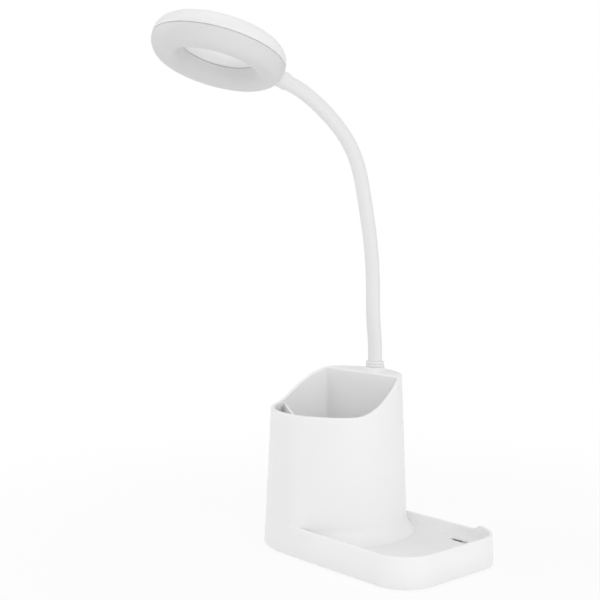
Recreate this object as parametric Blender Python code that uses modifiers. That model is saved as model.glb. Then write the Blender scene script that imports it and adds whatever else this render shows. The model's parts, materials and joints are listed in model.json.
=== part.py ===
"""Rechargeable table lamp: a base with a pen cup and a tray, a gooseneck and a ring head.

Metres, +Z up. +X runs from the pen cup to the tray, and the user sits on the -Y side.
The origin is the middle of the pad that the lamp stands on.
"""

import math

import bmesh
import bpy
from mathutils import Matrix, Vector

mm = 0.001
degree = math.radians(1)

# Fits that all pieces share
clearance = 0.3 * mm        # between pieces that touch or seat
overrun = 2.0 * mm          # how far a cutter passes the face it opens
overlap = 0.8 * mm          # how far a boss or rib runs into the wall that carries it

# Base housing: the tray and the pen cup, moulded in one
base_length = 144.2 * mm
base_width = 89.2 * mm
corner_radius = 22.2 * mm
rim_height = 18.2 * mm
back_rim_drop = 2.7 * mm
rim_step_length = 7.0 * mm
rim_rounding = 0.8 * mm
rim_rounding_runout = 20.0 * mm
side_bow = 0.02 * mm        # keeps three corners of a long side out of line
draft = 2.56 * degree
wall = 2.4 * mm
skirt_wall = 2.8 * mm
skirt_gap = 0.8 * mm
tray_floor_thickness = 1.8 * mm
tray_fillet = 3.2 * mm
foot_flare_width = 4.5 * mm
foot_flare_rise = 1.5 * mm

# Pen cup
cup_height = 105.0 * mm
cup_rim_drop = 20.8 * mm
cup_rim_rise_length = 46.0 * mm
rise_past_partition = 3.6 * mm
shoulder_thickness = 2.4 * mm
partition_thickness = 2.0 * mm
slim_pocket_depth = 8.3 * mm
slim_pocket_angle = 236 * degree
divider_thickness = 1.6 * mm
divider_drop = 1.2 * mm
cup_floor_thickness = 1.8 * mm
cup_fillet = 2.5 * mm

# Bottom cover, pad and screws
cover_thickness = 2.2 * mm
cover_rim = 1.6 * mm
pad_thickness = 1.5 * mm
pad_recess = 1.0 * mm
pad_rounding = 0.3 * mm
screw_radius = 1.4 * mm
screw_head_radius = 2.6 * mm
screw_head_height = 1.2 * mm
screw_length = 7.8 * mm
boss_radius = 3.5 * mm
boss_bore_depth = 9.0 * mm
cup_boss_angles = (270 * degree, 140 * degree)
recess_depth_share = 0.4
recess_reach_share = 0.5
recess_width_share = 0.2

# Steel weight under the tray
weight_gap = 7.0 * mm
weight_headroom = 0.7 * mm
weight_corner = 4.0 * mm
weight_rounding = 0.4 * mm

# Battery, its holder and its two tabs
cell_thickness = 9.0 * mm
cell_rounding = 1.5 * mm
cell_headroom = 1.2 * mm
holder_wall = 1.2 * mm
holder_height = 6.0 * mm
holder_back = -1.0 * mm
holder_boss_gap = 0.9 * mm
tab_thickness = 0.5 * mm
tab_width = 4.0 * mm
tab_height = 5.0 * mm
tab_spacing = 12.0 * mm

# Main board and what is soldered to it
board_length = 26.0 * mm
board_thickness = 1.6 * mm
board_standoff = 3.5 * mm
board_gap = 1.9 * mm
board_wall_gap = 0.5 * mm
board_screw_inset = 3.2 * mm
board_screw_radius = 0.9 * mm
board_screw_head_radius = 1.9 * mm
board_screw_head_height = 1.1 * mm
board_screw_length = 3.6 * mm
standoff_radius = 2.3 * mm
chip_length = 5.0 * mm
chip_width = 4.0 * mm
chip_height = 1.6 * mm
coil_radius = 3.0 * mm
coil_height = 3.2 * mm
plug_length = 6.0 * mm
plug_width = 4.0 * mm
plug_height = 3.8 * mm
charge_chip_shares = (-0.20, 0.02)
driver_chip_shares = (0.18, -0.10)
coil_shares = (-0.18, 0.22)
plug_shares = (0.24, -0.28)

# Charging socket and light
socket_width = 8.9 * mm
socket_height = 3.2 * mm
socket_depth = 9.0 * mm
socket_shell = 0.35 * mm
socket_recess = 0.8 * mm
tongue_width = 6.7 * mm
tongue_thickness = 0.7 * mm
light_radius = 1.1 * mm
light_offset = 9.5 * mm
light_length = 7.0 * mm

# Slide switch under the tray
switch_end_distance = 29.1 * mm
switch_side_distance = 10.0 * mm
switch_board_length = 20.0 * mm
switch_board_width = 8.0 * mm
switch_board_thickness = 0.8 * mm
switch_body_width = 4.4 * mm
switch_body_height = 1.9 * mm
switch_body_end = 1.1 * mm
switch_headroom = 0.7 * mm
channel_width = 2.0 * mm
channel_depth = 1.1 * mm
knob_length = 5.4 * mm
knob_width = 2.8 * mm
knob_recess = 0.5 * mm
knob_groove_depth = 0.35 * mm
knob_groove_count = 3
switch_travel = 4.0 * mm
slot_end_gap = 1.3 * mm
slot_side_gap = 0.4 * mm
slot_corner = 0.7 * mm

# Gooseneck: hose, sleeve and the fastening on the shoulder
hose_radius = 2.8 * mm
sleeve_gap = 0.5 * mm
neck_radius = 4.4 * mm
neck_length = 217.3 * mm
neck_side_offset = 3.0 * mm
neck_bend_shares = (0.0, 0.03, 0.09, 0.20, 0.40, 0.55, 0.70, 0.85, 0.93, 1.0)
neck_bend_angles = (0, 0, 7.0, 1.0, 11.5, 17.3, 46.6, 62.4, 72.3, 72.3)
first_link_length = 20.0 * mm
last_link_length = 29.3 * mm
hinge_count = 7
socket_gap = 0.3 * mm
ferrule_wall = 0.8 * mm
ferrule_length = 13.5 * mm
ferrule_reach = 1.9 * mm
collar_wall = 1.3 * mm
collar_height = 4.1 * mm
collar_groove_depth = 0.5 * mm
collar_groove_width = 0.8 * mm
neck_boss_rise = 2.2 * mm
neck_boss_rim = 0.2 * mm
neck_boss_flare = 2.0 * mm
washer_rim = 1.8 * mm
washer_thickness = 1.0 * mm
washer_wall_gap = 0.95 * mm
nut_rim = 1.4 * mm
nut_height = 4.0 * mm

# Ring head
ring_radius = 29.2 * mm
ring_half_width = 8.4 * mm
ring_half_height = 10.0 * mm
head_wall = 2.0 * mm
diffuser_wall = 1.5 * mm
seam_gap = 0.5 * mm
head_sleeve_wall = 0.3 * mm
head_sleeve_length = 13.0 * mm
socket_boss_wall = 2.1 * mm
socket_boss_length = 7.0 * mm
clip_rim = 0.5 * mm
clip_thickness = 0.8 * mm
clip_headroom = 0.7 * mm
clip_pinch = 0.1 * mm
led_board_side_gap = 1.0 * mm
led_board_thickness = 1.6 * mm
led_post_radius = 2.4 * mm
led_post_angles = (30 * degree, 150 * degree, 270 * degree)
led_bore_depth = 4.2 * mm
led_screw_radius = 0.9 * mm
led_screw_head_radius = 1.9 * mm
led_screw_head_height = 0.9 * mm
led_count = 18
led_length = 3.5 * mm
led_width = 2.8 * mm
led_height = 0.8 * mm

# Facets
arc_steps = 30
corner_steps = 8
fillet_steps = 4
wave_steps = 20
ring_steps = 40
neck_steps = 12
link_steps = 6
line_steps = 400
round_steps = 12
fine_steps = 20
nut_steps = 6

# Heights that follow from the sizes above, from the bottom up
cover_top = skirt_gap + cover_thickness
inside_bottom = cover_top + clearance
switch_body_top = inside_bottom + switch_board_thickness + clearance + switch_body_height
tray_ceiling = switch_body_top + switch_headroom
tray_floor_height = tray_ceiling + tray_floor_thickness
cell_bottom = inside_bottom + holder_wall + clearance
cup_ceiling = cell_bottom + cell_thickness + cell_headroom
cup_floor_height = cup_ceiling + cup_floor_thickness
board_bottom = cover_top + board_standoff
board_top = board_bottom + board_thickness
socket_middle = board_top + clearance + socket_height / 2
cup_front_height = cup_height - cup_rim_drop

# Radii of the neck's pieces, from the hose out
sleeve_bore = hose_radius + sleeve_gap
hose_bore = hose_radius + clearance
ferrule_radius = hose_bore + ferrule_wall
ferrule_bore = ferrule_radius + clearance
collar_bore = neck_radius + clearance
collar_radius = collar_bore + collar_wall
washer_radius = ferrule_bore + washer_rim
clip_radius = hose_radius + clip_rim

# Insets and places along the length and width
taper = math.tan(draft)
cup_x = -base_length / 2 + base_width / 2
cover_inset = skirt_wall + clearance
screw_inset = cover_inset + cover_rim + screw_head_radius + clearance
pad_inset = screw_inset + screw_head_radius + clearance + cover_rim


def outer_radius(z):
    """The cup's outer radius at a height."""
    return base_width / 2 - (z - skirt_gap) * taper


def inner_radius(z):
    """The cup's inner radius at a height."""
    return outer_radius(z) - wall


def half_chord(radius, distance):
    """Half of the chord at a distance from a circle's middle."""
    return math.sqrt(radius ** 2 - distance ** 2)


neck_x = cup_x + neck_side_offset
neck_y = half_chord(inner_radius(cup_height), neck_side_offset) - washer_radius - washer_wall_gap
rear_room_front = neck_y - washer_radius - washer_wall_gap
partition_face = rear_room_front - partition_thickness
neck_boss_top = cup_height + neck_boss_rise
neck_start = neck_boss_top + clearance
divider_distance = inner_radius(cup_front_height) - slim_pocket_depth - divider_thickness
switch_x = base_length / 2 - switch_end_distance
switch_y = base_width / 2 - switch_side_distance
board_back = half_chord(outer_radius(board_top) - cover_inset, board_length / 2) - board_wall_gap
board_front = holder_back + board_gap
socket_face = outer_radius(socket_middle) - socket_recess
boss_circle = base_width / 2 - screw_inset
holder_front = -(boss_circle - boss_radius - clearance - holder_boss_gap)
holder_half_length = half_chord(base_width / 2 - cover_inset - holder_height * taper, holder_front)
link_pitch = (neck_length - first_link_length - last_link_length) / (hinge_count - 1)
neck_side = ring_radius + ring_half_width
neck_rise = ring_half_height - head_wall - clip_headroom - clip_radius


# The scene and its materials

def clear_scene():
    for leftover in list(bpy.data.objects):
        bpy.data.objects.remove(leftover)


def collection(name, is_hidden=False):
    made = bpy.data.collections.new(name)
    bpy.context.scene.collection.children.link(made)
    made.hide_render = is_hidden
    return made


def material(name, colour, roughness, metallic=0.0):
    made = bpy.data.materials.new(name)
    made.use_nodes = True
    shader = made.node_tree.nodes["Principled BSDF"]
    shader.inputs["Base Color"].default_value = (*colour, 1)
    shader.inputs["Roughness"].default_value = roughness
    shader.inputs["Metallic"].default_value = metallic
    made.diffuse_color = (*colour, 1)
    return made


clear_scene()
lamp_parts = collection("table_lamp")
cutters = collection("cutters", is_hidden=True)

white_plastic = material("white_plastic", (0.86, 0.86, 0.86), 0.38)
milky_plastic = material("milky_plastic", (0.80, 0.80, 0.80), 0.45)
white_sleeve = material("white_sleeve", (0.84, 0.84, 0.84), 0.5)
black_plastic = material("black_plastic", (0.03, 0.03, 0.03), 0.45)
foam_rubber = material("foam_rubber", (0.06, 0.06, 0.06), 0.85)
steel = material("steel", (0.55, 0.55, 0.55), 0.35, 1.0)
nickel = material("nickel", (0.62, 0.60, 0.56), 0.25, 1.0)
cell_wrap = material("cell_wrap", (0.45, 0.46, 0.48), 0.4)
green_board = material("green_board", (0.03, 0.20, 0.09), 0.5)
white_board = material("white_board", (0.80, 0.80, 0.78), 0.5)

world = Matrix.Identity(4)
along_y = Matrix.Rotation(-90 * degree, 4, "X")


# Making, placing and joining shapes

def at(x, y, z=0):
    return Matrix.Translation((x, y, z))


def put(data, name, look, frame):
    """Makes an object of a mesh or curve and places it."""
    data.materials.append(look)
    made = bpy.data.objects.new(name, data)
    lamp_parts.objects.link(made)
    made.matrix_world = frame
    return made


def put_shape(shape, name, look, frame):
    """Turns a bmesh into an object with its faces pointing out."""
    bmesh.ops.recalc_face_normals(shape, faces=shape.faces)
    mesh = bpy.data.meshes.new(name)
    shape.to_mesh(mesh)
    shape.free()
    return put(mesh, name, look, frame)


def carry(holder, *pieces):
    """Parents pieces to what carries them and leaves them where they are."""
    for piece in pieces:
        place = piece.matrix_world.copy()
        piece.parent = holder
        piece.matrix_world = place


def combine(target, other, operation):
    """Adds a Boolean. The object that it uses is hidden and moves with the target."""
    change = target.modifiers.new(other.name, "BOOLEAN")
    change.operation = operation
    change.object = other
    lamp_parts.objects.unlink(other)
    cutters.objects.link(other)
    other.hide_render = True
    other.display_type = "WIRE"
    carry(target, other)


def cut(target, *others):
    for other in others:
        combine(target, other, "DIFFERENCE")


def join(target, *others):
    for other in others:
        combine(target, other, "UNION")


def keep_common(target, other):
    combine(target, other, "INTERSECT")


def round_edges(made, width, steps):
    rounding = made.modifiers.new("rounded_edges", "BEVEL")
    rounding.width = width
    rounding.segments = steps
    rounding.limit_method = "ANGLE"
    rounding.angle_limit = 50 * degree


def smooth(made, angle=35 * degree):
    made.data.shade_smooth()
    made.data.set_sharp_from_angle(angle=angle)


def axis_empty(name, frame):
    """An empty that stands on a joint's axis or in a piece's middle."""
    made = bpy.data.objects.new(name, None)
    lamp_parts.objects.link(made)
    made.empty_display_size = neck_radius
    made.matrix_world = frame
    return made


def box(name, low, high, look=white_plastic, frame=world):
    """A box between two corners, with its origin in its middle."""
    shape = bmesh.new()
    size = Vector(high) - Vector(low)
    middle = (Vector(high) + Vector(low)) / 2
    bmesh.ops.create_cube(shape, size=1, matrix=Matrix.Diagonal((*size, 1)))
    return put_shape(shape, name, look, frame @ Matrix.Translation(middle))


def cylinder(name, frame, low, high, radius, look=white_plastic, steps=round_steps):
    """A cylinder along its frame's Z, with its origin in its middle."""
    shape = bmesh.new()
    depth = high - low
    bmesh.ops.create_cone(shape, cap_ends=True, segments=steps, radius1=radius, radius2=radius, depth=depth)
    made = put_shape(shape, name, look, frame @ at(0, 0, (low + high) / 2))
    smooth(made)
    return made


def bridge(shape, lower, upper):
    """Quads between two closed rings of equally many corners."""
    for i in range(len(lower)):
        j = (i + 1) % len(lower)
        shape.faces.new((lower[i], lower[j], upper[j], upper[i]))


def loft(name, sections, look=white_plastic, frame=world):
    """A closed solid through unlike outlines that have equally many points."""
    shape = bmesh.new()
    rings = [[shape.verts.new(point) for point in section] for section in sections]
    shape.faces.new(rings[0])
    shape.faces.new(rings[-1])
    for lower, upper in zip(rings, rings[1:]):
        bridge(shape, lower, upper)
    return put_shape(shape, name, look, frame)


def turned(name, profile, look=white_plastic, steps=ring_steps, frame=world):
    """A closed profile of (radius, height) points, turned about Z. It runs down its outer side."""
    sides = list(zip(profile, profile[1:] + profile[:1]))
    area = sum(a[0] * b[1] - b[0] * a[1] for a, b in sides)
    downward = profile if area < 0 else profile[::-1]
    edges = [(i, (i + 1) % len(downward)) for i in range(len(downward))]
    mesh = bpy.data.meshes.new(name)
    mesh.from_pydata([(radius, 0, height) for radius, height in downward], edges, [])
    made = put(mesh, name, look, frame)
    turning = made.modifiers.new("turning", "SCREW")
    turning.steps = steps
    turning.render_steps = steps
    turning.use_merge_vertices = True
    turning.merge_threshold = clearance / 100
    return made


def flat_curve(name, outline, low, high, look, frame=world):
    """A filled outline as thick as the distance from low to high."""
    curve = bpy.data.curves.new(name, "CURVE")
    curve.dimensions = "2D"
    curve.fill_mode = "BOTH"
    curve.extrude = (high - low) / 2
    edge = curve.splines.new("POLY")
    edge.points.add(len(outline) - 1)
    for point, (x, y) in zip(edge.points, outline):
        point.co = (x, y, 0, 1)
    edge.use_cyclic_u = True
    return put(curve, name, look, frame @ at(0, 0, (low + high) / 2))


def weld(made):
    welding = made.modifiers.new("welded_caps", "WELD")
    welding.merge_threshold = clearance / 100


def plate(name, outline, low, high, look=white_plastic, frame=world):
    """A flat outline with thickness as a mesh, so that it can cut or be cut."""
    curve = flat_curve(name, outline, low, high, look, frame)
    place = curve.matrix_world.copy()
    bpy.context.view_layer.update()
    evaluated = curve.evaluated_get(bpy.context.evaluated_depsgraph_get())
    mesh = bpy.data.meshes.new_from_object(evaluated)
    bpy.data.objects.remove(curve)
    shape = bmesh.new()
    shape.from_mesh(mesh)
    bpy.data.meshes.remove(mesh)
    bmesh.ops.remove_doubles(shape, verts=shape.verts, dist=clearance / 100)
    return put_shape(shape, name, look, place)


def tube(name, points, radius, look, frame):
    """A round rod along points, with flat ends."""
    curve = bpy.data.curves.new(name, "CURVE")
    curve.dimensions = "3D"
    curve.bevel_depth = radius
    curve.bevel_resolution = 2
    curve.use_fill_caps = True
    line = curve.splines.new("POLY")
    line.points.add(len(points) - 1)
    for point, place in zip(line.points, points):
        point.co = (*place, 1)
    return put(curve, name, look, frame)


def arc(x, y, radius, start, end, steps):
    """Points on an arc, both ends included."""
    angles = [start + (end - start) * i / steps for i in range(steps + 1)]
    return [(x + radius * math.cos(a), y + radius * math.sin(a)) for a in angles]


def circle(x, y, radius, steps=fine_steps):
    return arc(x, y, radius, 0, 360 * degree, steps)[:-1]


def rounded_rectangle(x, y, length, width, radius):
    points = []
    for i, (side_x, side_y) in enumerate(((1, 1), (-1, 1), (-1, -1), (1, -1))):
        middle_x = x + side_x * (length / 2 - radius)
        middle_y = y + side_y * (width / 2 - radius)
        points += arc(middle_x, middle_y, radius, i * 90 * degree, (i + 1) * 90 * degree, fillet_steps)
    return points


def level(outline, z):
    return [(x, y, z) for x, y in outline]


def ease(share):
    """A smooth step from 0 to 1."""
    share = min(max(share, 0), 1)
    return share * share * (3 - 2 * share)


def rounded_lip(radius):
    """(inset, drop) pairs along a rounded edge, from its side to its top."""
    turns = [90 * degree * i / fillet_steps for i in range(fillet_steps + 1)]
    return [(radius * (1 - math.cos(turn)), radius * (1 - math.sin(turn))) for turn in turns]


# Base housing

def base_outline(inset, edge=0):
    """The base from above: a half circle round the cup, then the tray's near and far corners.

    The edge is a further inset of the tray's part alone.
    """
    side = base_width / 2 - inset - edge
    radius = max(corner_radius - inset - edge, clearance)
    corner_x = base_length / 2 - inset - edge - radius
    corner_y = side - radius
    runout_x = cup_x + rim_rounding_runout
    left = arc(cup_x, 0, base_width / 2 - inset, 90 * degree, 270 * degree, arc_steps)
    near = arc(corner_x, -corner_y, radius, 270 * degree, 360 * degree, corner_steps)
    far = arc(corner_x, corner_y, radius, 0, 90 * degree, corner_steps)
    return left + [(runout_x, -side - side_bow)] + near + far + [(runout_x, side + side_bow)]


def cup_part(radius, line_y, is_front):
    """The part of a circle round the cup's axis in front of, or behind, a line along X."""
    edge = math.asin(line_y / radius)
    if is_front:
        return arc(cup_x, 0, radius, math.pi - edge, 2 * math.pi + edge, 2 * arc_steps)
    return arc(cup_x, 0, radius, edge, math.pi - edge, arc_steps)


def base_envelope():
    """The outer form: the tapering base, rounded at its rim, with the tapering cup on its round end."""
    shape = bmesh.new()
    rings = [[shape.verts.new(point) for point in level(base_outline(0), skirt_gap)]]
    for edge, drop in rounded_lip(rim_rounding):
        z = rim_height - drop
        outline = base_outline((z - skirt_gap) * taper, edge)
        rings.append([shape.verts.new(point) for point in level(outline, z)])
    rim = rings[-1]
    inner_arc = arc(cup_x, 0, outer_radius(rim_height), 270 * degree, 450 * degree, arc_steps)[1:-1]
    cup_foot = rim[: arc_steps + 1] + [shape.verts.new(point) for point in level(inner_arc, rim_height)]
    top = cup_height + overrun
    cup_edge = arc(cup_x, 0, outer_radius(top), 90 * degree, 450 * degree, 2 * arc_steps)[:-1]
    cup_top = [shape.verts.new(point) for point in level(cup_edge, top)]
    shape.faces.new(rings[0])
    shape.faces.new(cup_top)
    shape.faces.new(rim[arc_steps:] + [rim[0]] + cup_foot[:arc_steps:-1])
    for lower, upper in zip(rings, rings[1:]):
        bridge(shape, lower, upper)
    bridge(shape, cup_foot, cup_top)
    return put_shape(shape, "base_housing", white_plastic, world)


def cup_stop(name):
    """The cup's wall with its flare down into the tray, which the tray's cutters leave standing."""
    flare_top = rim_height + foot_flare_rise
    bottom = tray_floor_height - 2 * overrun
    top = flare_top + 2 * overrun
    flare_steps = 2 * fillet_steps
    sections = [level(circle(cup_x, 0, outer_radius(bottom) + foot_flare_width, 2 * arc_steps), bottom)]
    for i in range(flare_steps + 1):
        rise = math.sin(90 * degree * i / flare_steps)
        z = tray_floor_height + (flare_top - tray_floor_height) * rise
        radius = outer_radius(z) + foot_flare_width * (1 - rise) ** 2
        sections.append(level(circle(cup_x, 0, radius, 2 * arc_steps), z))
    sections.append(level(circle(cup_x, 0, outer_radius(top), 2 * arc_steps), top))
    return loft(name, sections)


def tray_pocket():
    """The tray's hollow, with a rounded foot and a rounded lip to its walls."""
    sections = []
    for inset, drop in reversed(rounded_lip(tray_fillet)):
        sections.append(level(base_outline(wall + inset), tray_floor_height + drop))
    for edge, drop in rounded_lip(rim_rounding):
        z = rim_height - drop
        sections.append(level(base_outline(wall + (z - tray_floor_height) * taper, -edge), z))
    top = rim_height + foot_flare_rise / 2
    sections.append(level(base_outline(wall + (rim_height - tray_floor_height) * taper, -rim_rounding), top))
    pocket = loft("tray_pocket", sections)
    cut(pocket, cup_stop("tray_pocket_stop"))
    return pocket


def back_rim_step():
    """Takes the tray's back rim down and rounds it, with a smooth rise to the higher corner."""
    end = base_length / 2 - corner_radius + rim_step_length / 2
    start = end - rim_step_length
    low = rim_height - back_rim_drop
    top = rim_height + foot_flare_rise / 2
    steps = wave_steps // 2
    sections = []
    for i in range(-1, steps + 1):
        x = cup_x if i < 0 else start + rim_step_length * i / steps
        z = low + (top - low) * ease(i / steps)
        outer_y = outer_radius(z)
        inner_y = base_width / 2 - wall - (z - tray_floor_height) * taper
        lip = rounded_lip(rim_rounding)
        section = [(x, outer_y + overrun, top + overrun), (x, outer_y + overrun, z - rim_rounding)]
        section += [(x, outer_y - inset, z - drop) for inset, drop in lip]
        section += [(x, inner_y + inset, z - drop) for inset, drop in reversed(lip)]
        section += [(x, inner_y - overrun, z - rim_rounding), (x, inner_y - overrun, top + overrun)]
        sections.append(section)
    step = loft("back_rim_step", sections)
    cut(step, cup_stop("back_rim_stop"))
    return step


def cup_rim_cut():
    """Everything above the cup's rim, which is low in front and climbs in a wave to the shoulder."""
    reach = base_width / 2 + overrun
    top = cup_height + 2 * overrun
    rise_end = rear_room_front + rise_past_partition
    rise_start = rise_end - cup_rim_rise_length
    outline = [(reach, cup_height), (reach, top), (-reach, top), (-reach, cup_front_height)]
    for i in range(wave_steps + 1):
        y = rise_start + cup_rim_rise_length * i / wave_steps
        outline.append((y, cup_front_height + cup_rim_drop * ease(i / wave_steps)))
    across = Matrix(((0, 0, 1, cup_x), (1, 0, 0, 0), (0, 1, 0, 0), (0, 0, 0, 1)))
    return plate("cup_rim_cut", outline, -reach, reach, frame=across)


def pen_room():
    """The pen cup's hollow, less the divider that makes a slim pocket at its front left."""
    sections = []
    for inset, drop in reversed(rounded_lip(cup_fillet)):
        z = cup_floor_height + drop
        sections.append(level(cup_part(inner_radius(z) - inset, partition_face - inset, True), z))
    top = cup_height + 2 * overrun
    sections.append(level(cup_part(inner_radius(top), partition_face, True), top))
    room = loft("pen_room", sections)
    outward = at(cup_x, 0) @ Matrix.Rotation(slim_pocket_angle - 90 * degree, 4, "Z")
    low = (-base_width / 2, divider_distance, cup_floor_height - overrun)
    high = (base_width / 2, divider_distance + divider_thickness, cup_front_height - divider_drop)
    cut(room, box("divider", low, high, frame=outward))
    return room


def rear_room():
    """The closed room behind the partition, open below for the wires to the neck."""
    low = cup_ceiling - overlap
    top = cup_height - shoulder_thickness
    foot = cup_part(outer_radius(low) - skirt_wall - clearance, rear_room_front, False)
    head_end = cup_part(inner_radius(top), rear_room_front, False)
    return loft("rear_room", [level(foot, low), level(head_end, top)])


def cup_underside():
    """The round room under the cup's floor."""
    sections = []
    for z in (-overrun, cup_ceiling):
        sections.append(level(circle(cup_x, 0, outer_radius(z) - skirt_wall, 2 * arc_steps), z))
    return loft("cup_underside", sections)


def tray_underside():
    """The flat room under the tray's floor, open to the one under the cup."""
    sections = []
    for z in (-overrun, tray_ceiling):
        outline = base_outline(skirt_wall + (z - skirt_gap) * taper)[arc_steps + 1 :]
        side = outline[-1][1]
        start_x = cup_x + clearance
        sections.append(level([(start_x, side), (start_x, -side), *outline], z))
    return loft("tray_underside", sections)


def screw_places():
    """(x, y, height of the ceiling above) for each screw of the bottom cover."""
    corner_x = base_length / 2 - corner_radius
    corner_y = base_width / 2 - corner_radius
    reach = (corner_radius - screw_inset) * math.sin(45 * degree)
    places = [(corner_x + reach, side * (corner_y + reach), tray_ceiling) for side in (-1, 1)]
    for angle in cup_boss_angles:
        places.append((cup_x + boss_circle * math.cos(angle), boss_circle * math.sin(angle), cup_ceiling))
    return places


def bore_end(ceiling):
    """The height at which a screw's bore stops."""
    return min(ceiling, cover_top + boss_bore_depth)


def charge_opening():
    """The opening for the charging plug in the back of the cup."""
    length = socket_width + 2 * clearance
    width = socket_height + 2 * clearance
    outline = rounded_rectangle(0, 0, length, width, socket_height / 2)
    start = base_width / 2 - 3 * wall
    end = base_width / 2 + overrun
    return plate("charge_opening", outline, start, end, frame=at(cup_x, 0, socket_middle) @ along_y)


def switch_slot():
    length = knob_length + switch_travel + 2 * slot_end_gap
    width = knob_width + 2 * slot_side_gap
    outline = rounded_rectangle(switch_x, switch_y, length, width, slot_corner)
    return plate("switch_slot", outline, tray_ceiling - overrun, tray_floor_height + overrun)


def neck_boss():
    """The low flared boss that the collar stands on."""
    top_radius = collar_radius + neck_boss_rim
    bottom = cup_height - shoulder_thickness / 2
    sections = [level(circle(neck_x, neck_y, top_radius + neck_boss_flare), bottom)]
    for i in range(fillet_steps + 1):
        share = i / fillet_steps
        radius = top_radius + neck_boss_flare * (1 - share) ** 2
        sections.append(level(circle(neck_x, neck_y, radius), cup_height + neck_boss_rise * share))
    return loft("neck_boss", sections)


def base_housing():
    housing = base_envelope()
    cut(housing, tray_pocket(), back_rim_step(), cup_rim_cut())
    cut(housing, pen_room(), rear_room(), cup_underside(), tray_underside())
    join(housing, neck_boss())
    for i, (x, y, ceiling) in enumerate(screw_places()):
        boss = cylinder(f"screw_boss_{i + 1}", at(x, y), inside_bottom, ceiling + overlap, boss_radius)
        bore = cylinder(f"screw_bore_{i + 1}", at(x, y), 0, bore_end(ceiling), screw_radius + clearance)
        join(housing, boss)
        cut(housing, bore)
    light_frame = at(cup_x + light_offset, 0, socket_middle) @ along_y
    light_end = base_width / 2 + overrun
    cut(housing, charge_opening())
    cut(housing, cylinder("light_bore", light_frame, board_back - overrun, light_end, light_radius + clearance))
    cut(housing, switch_slot())
    bore_low = cup_height - shoulder_thickness - overrun
    cut(housing, cylinder("neck_bore", at(neck_x, neck_y), bore_low, neck_boss_top + overrun, ferrule_bore))
    smooth(housing)


# Bottom cover, pad, screws and weight

def standoff_places():
    """Two standoffs for screws at the board's front corners, and a plain one under the socket."""
    side = board_length / 2 - board_screw_inset
    front = board_front + board_screw_inset
    return [(cup_x - side, front), (cup_x + side, front), (cup_x, board_back - board_screw_inset)]


def bottom_cover():
    cover = plate("bottom_cover", base_outline(cover_inset), skirt_gap, cover_top)
    board_bore = board_screw_radius + clearance
    for i, (x, y) in enumerate(standoff_places()):
        top = board_bottom - clearance
        join(cover, cylinder(f"standoff_{i + 1}", at(x, y), cover_top - overlap, top, standoff_radius))
    for i, (x, y) in enumerate(standoff_places()[:2]):
        cut(cover, cylinder(f"standoff_bore_{i + 1}", at(x, y), cover_top, board_bottom, board_bore))
    pad_outline = base_outline(pad_inset - clearance)
    cut(cover, plate("pad_room", pad_outline, skirt_gap - overrun, skirt_gap + pad_recess))
    for i, (x, y, _) in enumerate(screw_places()):
        head_top = skirt_gap + screw_head_height + clearance
        cut(cover, cylinder(f"head_room_{i + 1}", at(x, y), 0, head_top, screw_head_radius + clearance))
        cut(cover, cylinder(f"cover_bore_{i + 1}", at(x, y), 0, cover_top + overrun, screw_radius + clearance))
    smooth(cover)


def non_slip_pad():
    pad = flat_curve("non_slip_pad", base_outline(pad_inset), 0, pad_thickness, foam_rubber)
    weld(pad)
    round_edges(pad, pad_rounding, 1)


def screw(name, frame, head_radius, head_height, radius, length):
    """A cross-head screw. Its head's outer face lies at the frame's origin and its tip along Z."""
    recess_depth = head_height * recess_depth_share
    reach = head_radius * recess_reach_share
    half_width = head_radius * recess_width_share / 2
    body = cylinder(name, frame, 0, head_height, head_radius, steel)
    join(body, cylinder(f"{name}_shank", frame, head_height - recess_depth, head_height + length, radius, steel))
    for i, (half_x, half_y) in enumerate(((reach, half_width), (half_width, reach))):
        low = (-half_x, -half_y, -overrun)
        cut(body, box(f"{name}_recess_{i + 1}", low, (half_x, half_y, recess_depth), steel, frame))
    return body


def cover_screws():
    for i, (x, y, ceiling) in enumerate(screw_places()):
        room = bore_end(ceiling) - clearance - skirt_gap - screw_head_height
        length = min(screw_length, room)
        screw(f"cover_screw_{i + 1}", at(x, y, skirt_gap), screw_head_radius, screw_head_height, screw_radius, length)


def counterweight():
    low_x = cup_x + holder_half_length + weight_gap
    high_x = base_length / 2 - skirt_wall - weight_gap
    width = 2 * (switch_y - switch_board_width / 2 - weight_gap)
    outline = rounded_rectangle((low_x + high_x) / 2, 0, high_x - low_x, width, weight_corner)
    weight = flat_curve("counterweight", outline, inside_bottom, tray_ceiling - weight_headroom, steel)
    weld(weight)
    round_edges(weight, weight_rounding, 1)


# Battery

def battery():
    """A flat cell in an open holder, with two tabs at its end."""
    holder_low = (cup_x - holder_half_length, holder_front, inside_bottom)
    holder_high = (cup_x + holder_half_length, holder_back, inside_bottom + holder_height)
    holder = box("battery_holder", holder_low, holder_high, black_plastic)
    room_low = (holder_low[0] + holder_wall, holder_front + holder_wall, inside_bottom + holder_wall)
    room_high = (holder_high[0] - holder_wall, holder_back - holder_wall, holder_high[2] + overrun)
    cut(holder, box("cell_room", room_low, room_high))
    tab_x = room_high[0] - clearance - tab_thickness
    cell_low = [side + clearance for side in room_low]
    cell_high = (tab_x - clearance, room_high[1] - clearance, cell_bottom + cell_thickness)
    cell = box("battery_cell", cell_low, cell_high, cell_wrap)
    round_edges(cell, cell_rounding, 3)
    middle_y = (holder_front + holder_back) / 2
    for i, side in enumerate((-1, 1)):
        y = middle_y + side * tab_spacing / 2
        tab_low = (tab_x, y - tab_width / 2, cell_bottom)
        tab_high = (tab_x + tab_thickness, y + tab_width / 2, cell_bottom + tab_height)
        box(f"battery_contact_{i + 1}", tab_low, tab_high, nickel)


# Main board and charging socket

def on_board(shares):
    """The place at shares of the board's length and width from its middle."""
    middle_y = (board_front + board_back) / 2
    return cup_x + shares[0] * board_length, middle_y + shares[1] * (board_back - board_front)


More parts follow.
